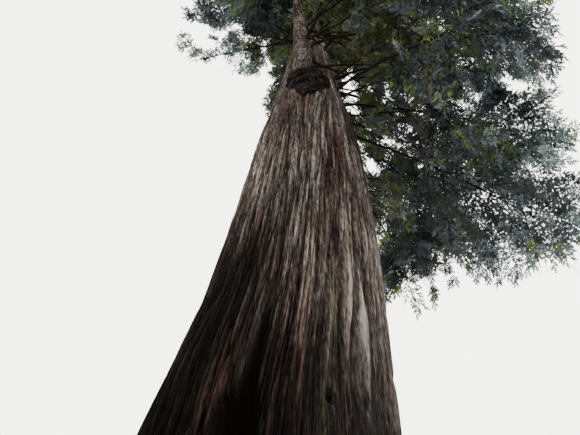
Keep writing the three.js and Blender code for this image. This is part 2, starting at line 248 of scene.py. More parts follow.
def addNode(tree, kind, settings=None, **inputs):
    node = tree.nodes.new(kind)
    for name, value in (settings or {}).items():
        setattr(node, name, value)
    for name, value in inputs.items():
        feed(tree, node.inputs[name.replace("_", " ")], value)
    return node


def stretchedNoise(tree, scale, detail, roughness):  # noise on Object coordinates, scaled along each axis
    place = addNode(tree, "ShaderNodeTexCoord").outputs["Object"]
    sized = addNode(tree, "ShaderNodeMapping", Vector=place, Scale=scale).outputs["Vector"]
    noise = addNode(tree, "ShaderNodeTexNoise", Vector=sized, Scale=1.0, Detail=detail, Roughness=roughness)
    return noise.outputs["Fac"]


def ramp(tree, factor, stops):
    node = addNode(tree, "ShaderNodeValToRGB", Fac=factor)
    elements = node.color_ramp.elements
    while len(elements) < len(stops):
        elements.new(0.5)
    for element, (place, color) in zip(elements, stops):
        element.position = place
        element.color = (*color, 1)
    return node.outputs["Color"]


def blendColors(tree, factor, first, second):
    node = addNode(tree, "ShaderNodeMix", {"data_type": "RGBA"})
    for number, value in ((0, factor), (6, first), (7, second)):  # the sockets that a blend of colours reads
        feed(tree, node.inputs[number], value)
    return node.outputs[2]


def calculate(tree, operation, *values, clamp=False):
    node = addNode(tree, "ShaderNodeMath", {"operation": operation, "use_clamp": clamp})
    for socket, value in zip(node.inputs, values):
        feed(tree, socket, value)
    return node.outputs["Value"]


def attributeValue(tree, name):
    return addNode(tree, "ShaderNodeAttribute", {"attribute_name": name}).outputs["Fac"]


def shifted(tree, value, scale, offset):  # value x scale + offset
    return calculate(tree, "MULTIPLY_ADD", value, scale, offset)


barkLook = {
    "redStops": [
        (0.0, (0.002, 0.001, 0.001)), (0.3, (0.012, 0.007, 0.006)), (0.55, (0.034, 0.021, 0.017)),
        (0.8, (0.070, 0.045, 0.037)), (1.0, (0.112, 0.077, 0.064)),
    ],
    "greyStops": [
        (0.0, (0.002, 0.002, 0.002)), (0.3, (0.015, 0.013, 0.012)), (0.55, (0.047, 0.042, 0.039)),
        (0.8, (0.098, 0.088, 0.082)), (1.0, (0.168, 0.152, 0.142)),
    ],
    "fibreScale": (56, 56, 3.4), "fibreGrain": (5, 0.72), "fibre": 1.5,  # grain: noise detail and roughness
    "streakScale": (17, 17, 0.9), "streakGrain": (5, 0.62), "streak": 0.7,
    "flakeScale": (24, 24, 7), "flakeGrain": (3, 0.5), "flake": 0.8,
    # the last of these: how far painted shade and light, with soot at the foot, move the tone
    "relief": 0.8, "middleTone": 0.6, "ownTone": 0.4, "paintedShadeLightAndSoot": 0.45,
    "patchScale": (1.1, 1.1, 0.35), "patchGrain": (4, 0.6),
    "patchGrey": (1.6, -0.85), "ownGrey": (1.5, -0.12),  # a pair: value x the first + the second
    "rust": (0.062, 0.027, 0.017, 1), "rustOnRidges": (1.1, -0.1),
    "moss": (0.060, 0.062, 0.022, 1), "mossOnRidges": (1.2, -0.2),
    "char": (0.0018, 0.0014, 0.0012, 1),
    "roughAt": (0.3, 0.7), "rough": (0.98, 0.82), "shine": 0.06,
    "bumpStreaks": 0.6, "bumpStrength": 0.9, "bumpDistance": 0.02,
}


def makeBark(name, look):
    # tone = relief + fibres + streaks + flakes + the ridge's own - painted shade, light and soot, read on a
    # red and a grey ramp, which are mixed by the ridge's own chance number and by broad patches; rust, moss,
    # and soot with painted shade go on top
    finish, tree, shader = startFinish(name)

    def noise(kind):
        return stretchedNoise(tree, look[kind + "Scale"], *look[kind + "Grain"])

    def aboutZero(value, size):  # value x size, half of it below 0
        return shifted(tree, value, size, -0.5 * size)

    def onRidges(kind):  # as strong as the attribute says, and on the ridges first
        ridges = shifted(tree, tone, *look[kind + "OnRidges"])
        return calculate(tree, "MULTIPLY", attributeValue(tree, kind), ridges, clamp=True)

    fibre, streak, flake = noise("fibre"), noise("streak"), noise("flake")
    paintedShadeLightAndSoot, own = attributeValue(tree, "paintedShadeLightAndSoot"), attributeValue(tree, "tone")
    offset = look["middleTone"] - look["middleTone"] * look["relief"]
    relief = shifted(tree, attributeValue(tree, "relief"), look["relief"], offset)
    lines = calculate(tree, "ADD", aboutZero(fibre, look["fibre"]), aboutZero(streak, look["streak"]))
    plates = calculate(tree, "ADD", aboutZero(flake, look["flake"]), relief)
    tone = calculate(tree, "ADD", lines, plates)
    tone = calculate(tree, "ADD", tone, aboutZero(own, look["ownTone"]))
    # painted shade and light, with soot at the foot: darker where shaded, lighter and greyer on the lit side
    paintedShadeLightAndSootShift = calculate(tree, "MULTIPLY", paintedShadeLightAndSoot, look["paintedShadeLightAndSoot"])
    tone = calculate(tree, "SUBTRACT", tone, paintedShadeLightAndSootShift, clamp=True)
    patch = shifted(tree, noise("patch"), *look["patchGrey"])
    greyness = calculate(tree, "ADD", shifted(tree, own, *look["ownGrey"]), patch)
    greyness = calculate(tree, "SUBTRACT", greyness, paintedShadeLightAndSoot, clamp=True)
    red, grey = ramp(tree, tone, look["redStops"]), ramp(tree, tone, look["greyStops"])
    color = blendColors(tree, greyness, red, grey)
    color = blendColors(tree, onRidges("rust"), color, look["rust"])
    color = blendColors(tree, onRidges("moss"), color, look["moss"])
    # soot, and the painted shade on the trunk, blend the colour towards char black
    color = blendColors(tree, attributeValue(tree, "sootAndPaintedShade"), color, look["char"])
    tree.links.new(color, shader.inputs["Base Color"])
    low, high = look["roughAt"]
    furrow, ridge = look["rough"]
    rough = addNode(tree, "ShaderNodeMapRange", Value=fibre, From_Min=low, From_Max=high,
                    To_Min=furrow, To_Max=ridge)
    tree.links.new(rough.outputs["Result"], shader.inputs["Roughness"])
    shader.inputs["Specular IOR Level"].default_value = look["shine"]
    coarse = calculate(tree, "ADD", streak, flake)
    height = calculate(tree, "MULTIPLY_ADD", coarse, look["bumpStreaks"], fibre)
    strength, distance = look["bumpStrength"], look["bumpDistance"]
    bump = addNode(tree, "ShaderNodeBump", Height=height, Strength=strength, Distance=distance)
    tree.links.new(bump.outputs["Normal"], shader.inputs["Normal"])
    return finish


needleLook = {
    "waverScale": (5, 5, 5), "waverGrain": (3, 0.6),
    "waver": [(0.3, 0.72), (0.7, 1.28)],  # place on the noise, share of the colour there
    "roughness": 0.52, "shine": 0.35, "through": 0.3,
}


def makeNeedles(name, color, litColor):
    # a needle's colour wavers a little from place to place; some of the light behind shows through
    finish, tree, shader = startFinish(name)
    waver = stretchedNoise(tree, needleLook["waverScale"], *needleLook["waverGrain"])
    stops = [(place, [part * share for part in color]) for place, share in needleLook["waver"]]
    tree.links.new(ramp(tree, waver, stops), shader.inputs["Base Color"])
    shader.inputs["Roughness"].default_value = needleLook["roughness"]
    shader.inputs["Specular IOR Level"].default_value = needleLook["shine"]
    through = addNode(tree, "ShaderNodeBsdfTranslucent", Color=(*litColor, 1))
    both = addNode(tree, "ShaderNodeMixShader", Fac=needleLook["through"])
    tree.links.new(shader.outputs["BSDF"], both.inputs[1])
    tree.links.new(through.outputs["BSDF"], both.inputs[2])
    tree.links.new(both.outputs["Shader"], tree.nodes["Material Output"].inputs["Surface"])
    return finish


# Trunk.

trunkShape = {
    "stations": [  # height, radius, how far the axis has swung to the right
        [0, 1.560, 0], [1.5, 1.470, 0.05], [3, 1.395, 0.15], [5.2, 1.325, 0.37], [7.1, 1.243, 0.6],
        [9.7, 1.184, 0.83], [12.1, 1.120, 0.955], [13.85, 1.025, 1.06], [16.8, 0.815, 1.165],
        [20.5, 0.640, 1.31], [24, 0.495, 1.4], [29, 0.345, 1.5], [34, 0.180, 1.58], [38.3, 0.026, 1.64],
    ],
    "height": 38.3,
    "flare": 0.15, "flareFade": 1.9, "buttresses": [[0.6, 5, 0.9], [0.4, 8, 2.1]],  # share, count, turn
    "flutes": 0.018, "fluteCount": 11, "fluteTwist": 5.2,
}


def trunkAxis(height):
    swing = readStations(trunkShape["stations"], 2, height)
    return np.stack([swing, np.zeros_like(swing), height + np.zeros_like(swing)], -1)


def plainRadius(height):
    return readStations(trunkShape["stations"], 1, height)


def trunkRadius(height, angle):  # plain radius x (1 + flare x buttresses + flutes)
    flare = trunkShape["flare"] * np.exp(-height / trunkShape["flareFade"])
    buttresses = sum(share * np.cos(count * angle + turn) for share, count, turn in trunkShape["buttresses"])
    twist = height / trunkShape["fluteTwist"]
    flutes = trunkShape["flutes"] * np.cos(trunkShape["fluteCount"] * angle + twist)
    return plainRadius(height) * (1 + flare * buttresses + flutes)


barkShape = {
    "depth": 0.078, "sunk": 0.72,  # of the radius from furrow to ridge, and how much of that lies inside it
    "calm": 0.6,  # how much shallower the bark is in the hollow
    # long ridges that part and meet, in three sizes: how many, how long, how steep their edges are, and
    # their share of the relief, least height and what chance adds to it
    "broads": 40, "broadLength": 4.2, "broadEdge": 1.5, "broadRise": (0.22, 1, 0),
    "strips": 108, "stripLength": 2.4, "stripEdge": 1.7, "stripRise": (0.42, 0.65, 0.35),
    "ribs": 250, "ribLength": 1.1, "ribEdge": 1.9, "ribRise": (0.36, 0.7, 0.3),
    "bend": 1.6, "bendCount": 13, "bendLength": 2.9, "sway": 0.45, "swayCount": 40, "swayLength": 1.0,
    "twist": 0.1,  # radians that the grain turns over ten metres
    "parting": [-92, 15.2, 0.42, 1.6], "partingShare": 0.8,  # where the grain parts round the burl
    "coarse": [-44, 4.0, 0.62, 4.2], "ridge": (0.26, 0.58),  # where slender ridges stand between wide furrows
    "ridgeRise": 0.62, "onRidge": 0.5, "besideRidge": 0.4,  # their height, and how much of the rest is left
    "broadTone": (0.2, 0.6), "fineTone": (0.4, 0.2),  # shares of the tone, in fine bark and in coarse
    "tuck": (0.03, 0.02),  # how far down and inwards a section's first row lies
    "leastRadius": 0.01,
}
barkSections = [  # foot, top, columns, rows
    [0.0, 4.2, 720, 84], [4.2, 9.4, 1040, 89], [9.4, 16.6, 900, 103], [16.6, 26.0, 400, 110],
    [26.0, 38.3, 200, 100],
]
# Spots on the trunk: facing in degrees, height, width in radians, how tall.
knotHole = {"spot": [-61, 5.0, 0.055, 0.1], "depth": 0.09}
mossPatches = [[-62, 6.6, 0.05, 0.5], [-64, 4.7, 0.06, 0.3], [-40, 3.1, 0.1, 0.4]]


def gaussianSpot(angle, height, facing, middle, width, tall):  # e^-(across / width)^2 - (up / tall)^2
    return np.exp(-((angleFrom(angle, facing) / width) ** 2) - ((height - middle) / tall) ** 2)


def barkRelief(angle, height):
    # long cells of three sizes laid round the trunk on a bent grain: a furrow runs where two cells meet, and
    # relief = broads + strips + ribs, blended where the bark is coarse into slender ridges with half as much
    # of the rest on them; the tone is a chance number of the three cells
    shape = barkShape
    parted = angleFrom(angle, shape["parting"][0]) * gaussianSpot(angle, height, *shape["parting"])
    turn = (angle - shape["partingShare"] * parted + shape["twist"] * height / 10) / fullTurn
    bend = wovenNoise(turn * shape["bendCount"], height / shape["bendLength"], shape["bendCount"], 1) - 0.5
    sway = wovenNoise(turn * shape["swayCount"], height / shape["swayLength"], shape["swayCount"], 2) - 0.5
    shift = (shape["bend"] * bend + shape["sway"] * sway) / shape["strips"]

    def cells(name, seed):
        count = shape[name + "s"]
        edge, chance = splitCells((turn + shift) * count, height / shape[name + "Length"], count, seed)
        swell = 1 - (1 - np.clip(edge * shape[name + "Edge"], 0, 1)) ** 2
        share, least, added = shape[name + "Rise"]
        return edge, share * swell * (least + added * chance), chance

    broadEdge, broad, broadChance = cells("broad", 3)
    _, strip, stripChance = cells("strip", 4)
    _, rib, ribChance = cells("rib", 5)
    fine = strip + rib
    slender = fade(broadEdge, *shape["ridge"])
    coarse = shape["ridgeRise"] * slender + shape["onRidge"] * fine * mix(shape["besideRidge"], 1, slender)
    share = gaussianSpot(angle, height, *shape["coarse"])
    tone = mix(*shape["broadTone"], share) * broadChance
    tone = tone + mix(*shape["fineTone"], share) * (stripChance + ribChance)
    return mix(broad + fine, coarse, share), tone


hollowShape = [  # height, half width, depth, the way it faces in degrees
    [-0.12, 0.52, 0.76, -98], [1.5, 0.48, 0.7, -98], [3, 0.39, 0.6, -98], [4.2, 0.27, 0.43, -97.5],
    [4.7, 0.17, 0.28, -97], [5, 0.075, 0.15, -95], [5.6, 0.052, 0.1, -94.5], [6.15, 0.012, 0.03, -94],
]
hollowRim = {"width": 0.86, "ragged": 0.3, "raggedLength": 0.34, "narrowest": 0.004,
             "char": (0.08, 0.35), "charTop": 0.5, "charFade": 1.2}


def hollowCut(angle, height):
    # an ellipse sunk into the surface: depth x root of 1 - (offset / half width) squared, with a rough edge;
    # the wood beside it is burnt, less with the distance
    facing, depth = readStations(hollowShape, 3, height), readStations(hollowShape, 2, height)
    top = hollowShape[-1][0]
    halfWidth = readStations(hollowShape, 1, height) * np.where(height < top, 1, 0)
    ragged = wovenNoise(np.zeros_like(height), height / hollowRim["raggedLength"], 9, 21)
    halfWidth = halfWidth * (hollowRim["width"] + hollowRim["ragged"] * ragged)
    offset = angleFrom(angle, facing) * trunkRadius(height, np.radians(facing))
    inside = np.clip(1 - (offset / np.maximum(halfWidth, 1e-4)) ** 2, 0, 1)
    reach, reachShare = hollowRim["char"]
    rim = np.clip(1 - np.maximum(np.abs(offset) - halfWidth, 0) / (reach + reachShare * halfWidth), 0, 1)
    burnt = rim * np.clip((top + hollowRim["charTop"] - height) / hollowRim["charFade"], 0, 1)
    return depth * np.sqrt(inside) * (halfWidth > hollowRim["narrowest"]), burnt


charShape = {  # facing in degrees, and each reach or height from where it starts to where it is full
    "leftFacing": -150, "leftReach": (1.2, 0.6), "leftHeight": (10.4, 6.6), "left": 0.8,  # painted shade on the left, the side away from the light
    "footHeight": (7.2, 4.7), "foot": 0.7,  # painted shade and soot darken the foot of the trunk, most of all in front
    "footFacing": -100, "footReach": (2.6, 1.3), "footBehind": 0.45,
    "ragged": 1.6, "raggedCount": 23, "raggedLength": 3,
    "sunny": [-40, 6.0, 0.5, 7.0], "lessFootShadeWhereLit": 0.6, "pale": 0.10,  # painted light: lighter, greyer bark on the side towards the light, with less painted shade at its foot
    "sheltered": [-22, 13.2, 0.7, 2.4], "shelter": 0.36,  # painted shadow of the boughs on the trunk
    "paintedShadeLightAndSoot": 0.5,  # how far that painted shade and soot darken the grain itself
    "rust": [-107, 4.95, 0.16, 0.7], "rustClear": 0.5,  # bare red wood beside the hollow, not so dark
    "burnt": 0.55, "inside": 1.2, "insideFrom": 0.02, "knot": 0.9, "darkest": 0.96,  # soot of the hollow, with painted shade in the knot hole
}


def trunkPaintedShadeAndLight(angle, height):
    # painted shade on the left, away from the light, painted shade and soot at the foot and painted shadow of
    # the
    # boughs: 1 - (1 - left)(1 - foot)(1 - boughs); also where painted light falls on the side towards the
    # light
    shape = charShape
    # painted light on the side towards the light
    sunny = gaussianSpot(angle, height, *shape["sunny"])
    count = shape["raggedCount"]
    ragged = wovenNoise(angle / fullTurn * count, height / shape["raggedLength"], count, 81) - 0.5
    edge = height + shape["ragged"] * ragged
    # painted shade on the left side, away from the light
    left = np.abs(angleFrom(angle, shape["leftFacing"]))
    left = shape["left"] * fade(left, *shape["leftReach"]) * fade(edge, *shape["leftHeight"])
    # painted shade and soot at the foot, strongest in front
    front = fade(np.abs(angleFrom(angle, shape["footFacing"])), *shape["footReach"])
    foot = shape["foot"] * mix(shape["footBehind"], 1, front) * fade(edge, *shape["footHeight"])
    # less of that painted shade on the side towards the light
    foot = foot * (1 - shape["lessFootShadeWhereLit"] * sunny)
    # painted shadow of the boughs above
    shelter = shape["shelter"] * gaussianSpot(angle, height, *shape["sheltered"])
    return 1 - (1 - left) * (1 - foot) * (1 - shelter), sunny


def barkSurface(angle, height):
    # radius = the solid's radius + depth x (relief - what is sunk), less the hollow and the knot hole
    relief, tone = barkRelief(angle, height)
    cut, burnt = hollowCut(angle, height)
    knot = gaussianSpot(angle, height, *knotHole["spot"]) ** 2
    moss = sum(gaussianSpot(angle, height, *patch) for patch in mossPatches)
    depth = barkShape["depth"] * plainRadius(height) * (1 - barkShape["calm"] * (cut > 0))
    plain = trunkRadius(height, angle)
    radius = plain + depth * (relief - barkShape["sunk"]) - cut - knotHole["depth"] * knot
    # painted shade and light on the trunk, with soot at the foot
    dark, sunny = trunkPaintedShadeAndLight(angle, height)
    paintedShadeLightAndSoot = charShape["paintedShadeLightAndSoot"] * dark - charShape["pale"] * sunny
    rust = gaussianSpot(angle, height, *charShape["rust"])
    isInside = cut > charShape["insideFrom"]
    # soot in and round the hollow, and painted shade in the knot hole
    sootAndPaintedShade = charShape["burnt"] * burnt + charShape["inside"] * isInside + charShape["knot"] * knot
    # the painted shade, and the soot at the foot, also blend the colour towards char black; the red wood
    # beside the hollow less so
    clear = 1 - dark * (1 - charShape["rustClear"] * rust)
    sootAndPaintedShade = np.clip(1 - (1 - np.clip(sootAndPaintedShade, 0, 1)) * clear, 0, charShape["darkest"])
    values = {"relief": relief, "tone": tone, "sootAndPaintedShade": sootAndPaintedShade, "moss": moss, "paintedShadeLightAndSoot": paintedShadeLightAndSoot, "rust": rust}
    return np.maximum(radius, barkShape["leastRadius"]), values


def growTrunk(finish):
    down, inwards = barkShape["tuck"]
    for number, (foot, top, columns, rows) in enumerate(barkSections):
        height = np.linspace(foot, top, rows)
        if number:  # a row tucked in under the edge of the section below
            height = np.concatenate([[foot - down], height])
        angle = np.arange(columns) * fullTurn / columns
        heights, angles = height[:, None] + 0 * angle, angle + 0 * height[:, None]
        radius, values = barkSurface(angles, heights)
        if number:
            radius[0] -= inwards
        rings = trunkAxis(heights)
        rings[..., 0] += radius * np.cos(angles)
        rings[..., 1] += radius * np.sin(angles)
        isFoot, isTip = number == 0, number == len(barkSections) - 1
        points, faces = skinRings(rings[None], isFoot, isTip)
        extra = np.full(len(points) - radius.size, 0.5)  # for the middle of an end cap
        values = {name: np.concatenate([grid.ravel(), extra]) for name, grid in values.items()}
        addPiece(f"bark_{number + 1}", points, faces, finish, ["trunk"], values=values)


# Burl.

burlShape = {
    "knobs": [  # facing in degrees, height, radius, how tall it is for its width
        [-93, 15.42, 0.38, 0.84], [-109, 15.30, 0.23, 1.1], [-75, 15.38, 0.26, 1.0], [-92, 14.80, 0.31, 1.5],
        [-104, 14.95, 0.23, 1.4], [-80, 14.95, 0.23, 1.4], [-104, 15.70, 0.18, 0.9], [-84, 15.75, 0.22, 0.9],
        [-99, 14.55, 0.19, 1.8], [-85, 14.50, 0.19, 1.9], [-91, 14.20, 0.16, 2.0], [-68, 15.20, 0.14, 1.6],
    ],
    "seat": 0.94, "narrow": 0.9, "columns": 64, "rows": 38, "pole": 0.02,
    "base": 0.68, "lump": 0.46, "lumpCount": (7, 2.1), "wart": 0.28, "wartCount": (19, 6),
    "relief": (0.2, 0.5), "sootAndPaintedShade": 0.3,
}


def growBurl(finish):
    # knobs: a sphere's radius swelled by lumps and warts, flattened or drawn out upwards, and set in the
    # trunk's surface
    shape = burlShape
    down = np.linspace(shape["pole"], math.pi - shape["pole"], shape["rows"])[:, None]
    around = (np.arange(shape["columns"]) * fullTurn / shape["columns"])[None]
    ball = [np.sin(down) * np.cos(around), shape["narrow"] * np.sin(down) * np.sin(around)]
    ball = np.stack([*ball, -np.cos(down) + 0 * around], -1)

    def bumps(kind, seed):
        across, along = shape[kind + "Count"]
        return wovenNoise(around / fullTurn * across, down * along, across, seed)

    rings, reliefs = [], []
    least, added = shape["relief"]
    for number, (facing, height, radius, flat) in enumerate(shape["knobs"]):
        lumps, warts = bumps("lump", 31 + number), bumps("wart", 51 + number)
        swell = radius * (shape["base"] + shape["lump"] * lumps + shape["wart"] * warts)
        spin = math.radians(facing)
        seat = trunkAxis(height) + outward(spin) * (trunkRadius(height, spin) * shape["seat"])
        rings.append(seat + ball * [1, 1, flat] * swell[..., None])
        reliefs.append(np.concatenate([(least + added * lumps * warts).ravel(), [least, least]]))
    points, faces = skinRings(np.stack(rings))
    # the burl's bark is darkened by a fixed share towards char black
    values = {"relief": np.concatenate(reliefs), "sootAndPaintedShade": np.full(len(points), shape["sootAndPaintedShade"])}
    addPiece("burl_bark", points, faces, finish, ["trunk"], values=values)


# Curves for limbs.

def readRows(places, steps, rows):  # the coordinates at places between the steps
    return np.stack([np.interp(places, steps, rows[:, axis]) for axis in range(3)], -1)


def evenly(points, count):  # the same route with its points spaced evenly
    steps = np.linalg.norm(np.diff(points, axis=0), axis=1)
    along = np.concatenate([[0], np.cumsum(steps)])
    return readRows(np.linspace(0, along[-1], count), along, points)


def bowRoute(start, middle, end, count=49):  # (1-t)^2 start + 2t(1-t) middle + t^2 end, evenly spaced
    t = np.linspace(0, 1, 4 * count)[:, None]
    return evenly((1 - t) ** 2 * start + 2 * t * (1 - t) * middle + t ** 2 * end, count)


def throughRoute(stations, count=97):
    # a smooth curve through stations: a cubic between each two, its slopes weighed by the roots of the spans
    stations = np.array(stations, float)
    ends = [2 * stations[0] - stations[1], *stations, 2 * stations[-1] - stations[-2]]
    t = np.linspace(0, 1, count)[:, None]
    stretches = []
    for p0, p1, p2, p3 in zip(ends, ends[1:], ends[2:], ends[3:]):
        a, b, c = (np.linalg.norm(q - p) ** 0.5 for p, q in ((p0, p1), (p1, p2), (p2, p3)))
        leave = ((p1 - p0) / a - (p2 - p0) / (a + b) + (p2 - p1) / b) * b
        arrive = ((p2 - p1) / b - (p3 - p1) / (b + c) + (p3 - p2) / c) * b
        stretches.append((2 * t ** 3 - 3 * t ** 2 + 1) * p1 + (t ** 3 - 2 * t ** 2 + t) * leave
                         + (3 * t ** 2 - 2 * t ** 3) * p2 + (t ** 3 - t ** 2) * arrive)
    return evenly(np.concatenate(stretches), count)


def onRoute(route, share):  # the point and the heading at shares of a route's length
    places = np.atleast_1d(share) * (len(route) - 1)
    steps = np.arange(len(route))
    return readRows(places, steps, route), unit(readRows(places, steps, np.gradient(route, axis=0)))


# Side stem.

stemShape = {
    "route": [[1.01, -0.88, 15.5], [1.01, -1.08, 18], [0.965, -1.29, 22.5], [0.93, -1.48, 27.2]],
    "foot": 0.265, "tip": 0.06, "columns": 88, "rows": 420, "routeSteps": 201,
    "rings": 62, "ringWaver": 1.6, "ringDepth": 0.05, "ringShare": 0.55, "crackShare": 0.5,
    "wavers": (5, 30), "bands": 3, "cracks": (22, 26),  # how many round the stem, how many along it
    "middle": 0.55, "shade": (0.2, 0.8), "endShade": 0.4,
}


def growSideStem(finish):
    # a tapering tube whose radius rises and falls in uneven rings and shallow cracks
    shape = stemShape
    route = throughRoute(shape["route"], shape["rows"])
    along = np.linspace(0, 1, shape["rows"])
    taper = mix(shape["foot"], shape["tip"], along)
    circles = tubeRings(route[None], taper[None], shape["columns"])[0]
    turn = np.arange(shape["columns"]) / shape["columns"]
    turns, places = turn + 0 * along[:, None], along[:, None] + 0 * turn
    count, rows = shape["wavers"]
    waver = wovenNoise(turns * count, places * rows, count, 51)
    count = shape["bands"]
    bands = wovenNoise(turns * count, places * shape["rings"] * 2 + shape["ringWaver"] * waver, count, 52)
    count, rows = shape["cracks"]
    cracks = np.abs(2 * wovenNoise(turns * count + waver, places * rows, count, 53) - 1)
    relief = shape["ringShare"] * bands + shape["crackShare"] * np.clip(cracks * 2, 0, 1)
    relief = np.clip(relief, 0, 1)
    middle = route[:, None]
    swelled = middle + (circles - middle) * (1 + shape["ringDepth"] * (relief - shape["middle"]))[..., None]
    points, faces = skinRings(swelled[None])
    least, added = shape["shade"]
    values = {"relief": np.concatenate([least + added * relief.ravel(), np.full(2, shape["endShade"])])}
    addPiece("side_stem_bark", points, faces, finish, ["side_stem"], values=values)
    return throughRoute(shape["route"], shape["routeSteps"])


# Boughs.

boughSizes = {"foot": 0.052, "tip": 0.024, "crest": 0.55, "sides": 12, "steps": 49,
              "collar": 0.6, "collarLength": 0.16, "onStem": 0.9, "shade": (0.25, 0.4, 0.7), "endShade": 0.4,
              "knot": 0.28, "waist": 0.9, "knots": 17, "knotStep": 3.3,  # a step: from bough to bough
              "bend": 0.09, "bends": 6, "bendStep": 5.1}
neverAgain = 1000  # more cells than any bough crosses
thinBoughs = {  # boughs between the main ones, on the side where the crown is fullest and higher up all round
    "side": {"count": 18, "first": 0.3, "angle": -38, "angleSpan": 100, "height": 14.7, "topHeight": 20.2,
             "onStem": 15.9, "reach": 2.7, "topReach": 2.2, "foot": 0.034, "topFoot": 0.034,
             "leafFirst": 0.46, "leafCount": 9, "leafLength": (0.62, 0.92), "isHigh": False},
    "crown": {"count": 46, "first": 0.1, "angle": 0, "angleSpan": 360, "height": 21.2, "topHeight": 38.6,
              "onStem": 99, "reach": 2.3, "topReach": 0.35, "foot": 0.030, "topFoot": 0.012,
              "leafFirst": 0.34, "leafCount": 7, "leafLength": (0.55, 0.9), "isHigh": True},
}
thinBoughShape = {"rise": 0.3, "fall": 0.1, "tip": 0.009,
                  "leafAngle": (0.75, 1.15), "leafTilt": (-0.9, 0.7), "lastLeaf": 0.1}
goldenShare = 0.618034
boughWave = {"step": 2.4, "start": 0.6, "height": 0.16, "reachShare": 0.06, "fall": 0.22}
lowBoughs = {"count": 6, "angle": -40, "step": 19, "height": 15.4, "stagger": 1.7, "climb": 0.25,
             "reach": 2.0, "reachStep": 0, "rise": 0.42, "fall": 0.2}
hangingBoughs = {"count": 2, "angle": 12, "step": 40, "height": 14.6, "stagger": 0.9, "climb": 0,
                 "reach": 1.9, "reachStep": -0.65, "rise": -0.08, "fall": 0.45}
middleBoughs = {"count": 4, "angle": -58, "step": 23, "height": 17.9, "stagger": 1.5, "climb": 0,
                "reach": 1.7, "reachStep": 0, "rise": 0.42, "fall": 0.0}
spiralBoughs = {"count": 6, "angle": 40, "height": 18.2, "topHeight": 23.0, "reach": 1.75, "topReach": 1.4,
                "rise": 0.16, "fall": 0.02, "leftShare": 0.82, "leftLift": 4.6}


def boughRoute(seat, angle, reach, rise, fall):
    out = outward(angle)
    crest = seat + out * reach * boughSizes["crest"] + upward * rise
    return bowRoute(seat, crest, seat + out * reach - upward * fall, boughSizes["steps"])


def boughRow(group, seatAt):  # boughs that differ in their angle, each waved a little from the last
    routes = []
    for i in range(group["count"]):
        wave = math.sin(boughWave["step"] * i + boughWave["start"])
        steps = group["climb"] * i + group["stagger"] * (i % 2)
        seat = seatAt(group["height"] + steps + boughWave["height"] * wave)
        angle = math.radians(group["angle"] + group["step"] * i)
        reach = (group["reach"] + group["reachStep"] * i) * (1 + boughWave["reachShare"] * wave)
        fall = group["fall"] + boughWave["fall"] * wave
        routes.append(boughRoute(seat, angle, reach, group["rise"], fall))
    return routes


def boughSpiral(group):  # boughs that climb by the golden angle, shorter with height and on the left
    routes = []
    for i in range(group["count"]):
        rank = i / (group["count"] - 1)
        angle = math.radians(group["angle"] + goldenAngle * i)
        leftness = max(0.0, -math.cos(angle))
        reach = mix(group["reach"], group["topReach"], rank) * (1 - (1 - group["leftShare"]) * leftness)
        height = mix(group["height"], group["topHeight"], rank) + group["leftLift"] * leftness * (1 - rank)
        seat = trunkAxis(height)
        routes.append(boughRoute(seat, angle, reach, group["rise"] * reach, group["fall"] * reach))
    return routes


def placeThinBoughs(group, stemRoute):
    # angles spread by the golden share, so that no two near in height lie close; at the side every other one
    # above the burl leaves the side stem
    routes = []
    for i in range(group["count"]):
        spread = (group["first"] + goldenShare * i) % 1
        rank = (i + 0.5) / group["count"]
        height = mix(group["height"], group["topHeight"], rank)
        isOnStem = height > group["onStem"] and i % 2 == 1
        seat = stemPoint(stemRoute, height) if isOnStem else trunkAxis(height)
        angle = math.radians(group["angle"] + group["angleSpan"] * spread)
        reach = mix(group["reach"], group["topReach"], rank)
        route = boughRoute(seat, angle, reach, thinBoughShape["rise"], thinBoughShape["fall"] * reach)
        if not group["isHigh"] or fullness(route[-1]) > 0.5:
            routes.append(route)
    return routes


def thinBoughLeaves(group, routes):
    # fronds leave a thin bough to the left and right in turn, and one goes straight on from its tip
    feet, headings = [], []
    for number, route in enumerate(routes):
        slot = np.arange(group["leafCount"])
        share = mix(group["leafFirst"], 1.0, (slot + 0.5) / group["leafCount"])
        foot, tangent = onRoute(route, share)
        across = unit(np.cross(upward, tangent))
        angle = draws(81 + number, slot, *thinBoughShape["leafAngle"])
        angle = angle * np.where(slot == slot[-1], thinBoughShape["lastLeaf"], 1)
        tilt = draws(141 + number, slot, *thinBoughShape["leafTilt"])
        sideways = turned(across * leftRight(slot)[:, None], np.cross(tangent, across), tilt)
        feet.append(foot)
        headings.append(unit(turned(tangent, sideways, angle)))
    feet, headings = np.concatenate(feet), np.concatenate(headings)
    number = np.arange(len(feet))
    across = unit(np.cross(upward, headings))
    rolled = turned(across, np.cross(headings, across), draws(121, number, *frondShape["roll"]))
    length = draws(131, number, *group["leafLength"])
    corners = frondCorners(feet, headings, rolled, length)
    fits = clearOfTrunk(corners).all(-1) & clearOfTrunk(feet) & withinTree(corners, 0).all(-1)
    return [part[fits] for part in (feet, headings, rolled, length)]


def stemPoint(stemRoute, height):
    return stemRoute[np.argmin(np.abs(stemRoute[:, 2] - height))]


def placeBoughs(stemRoute):
    def fromStem(height):
        return stemPoint(stemRoute, height)

    return [*boughRow(lowBoughs, trunkAxis), *boughRow(hangingBoughs, trunkAxis),
            *boughRow(middleBoughs, fromStem), *boughSpiral(spiralBoughs)]


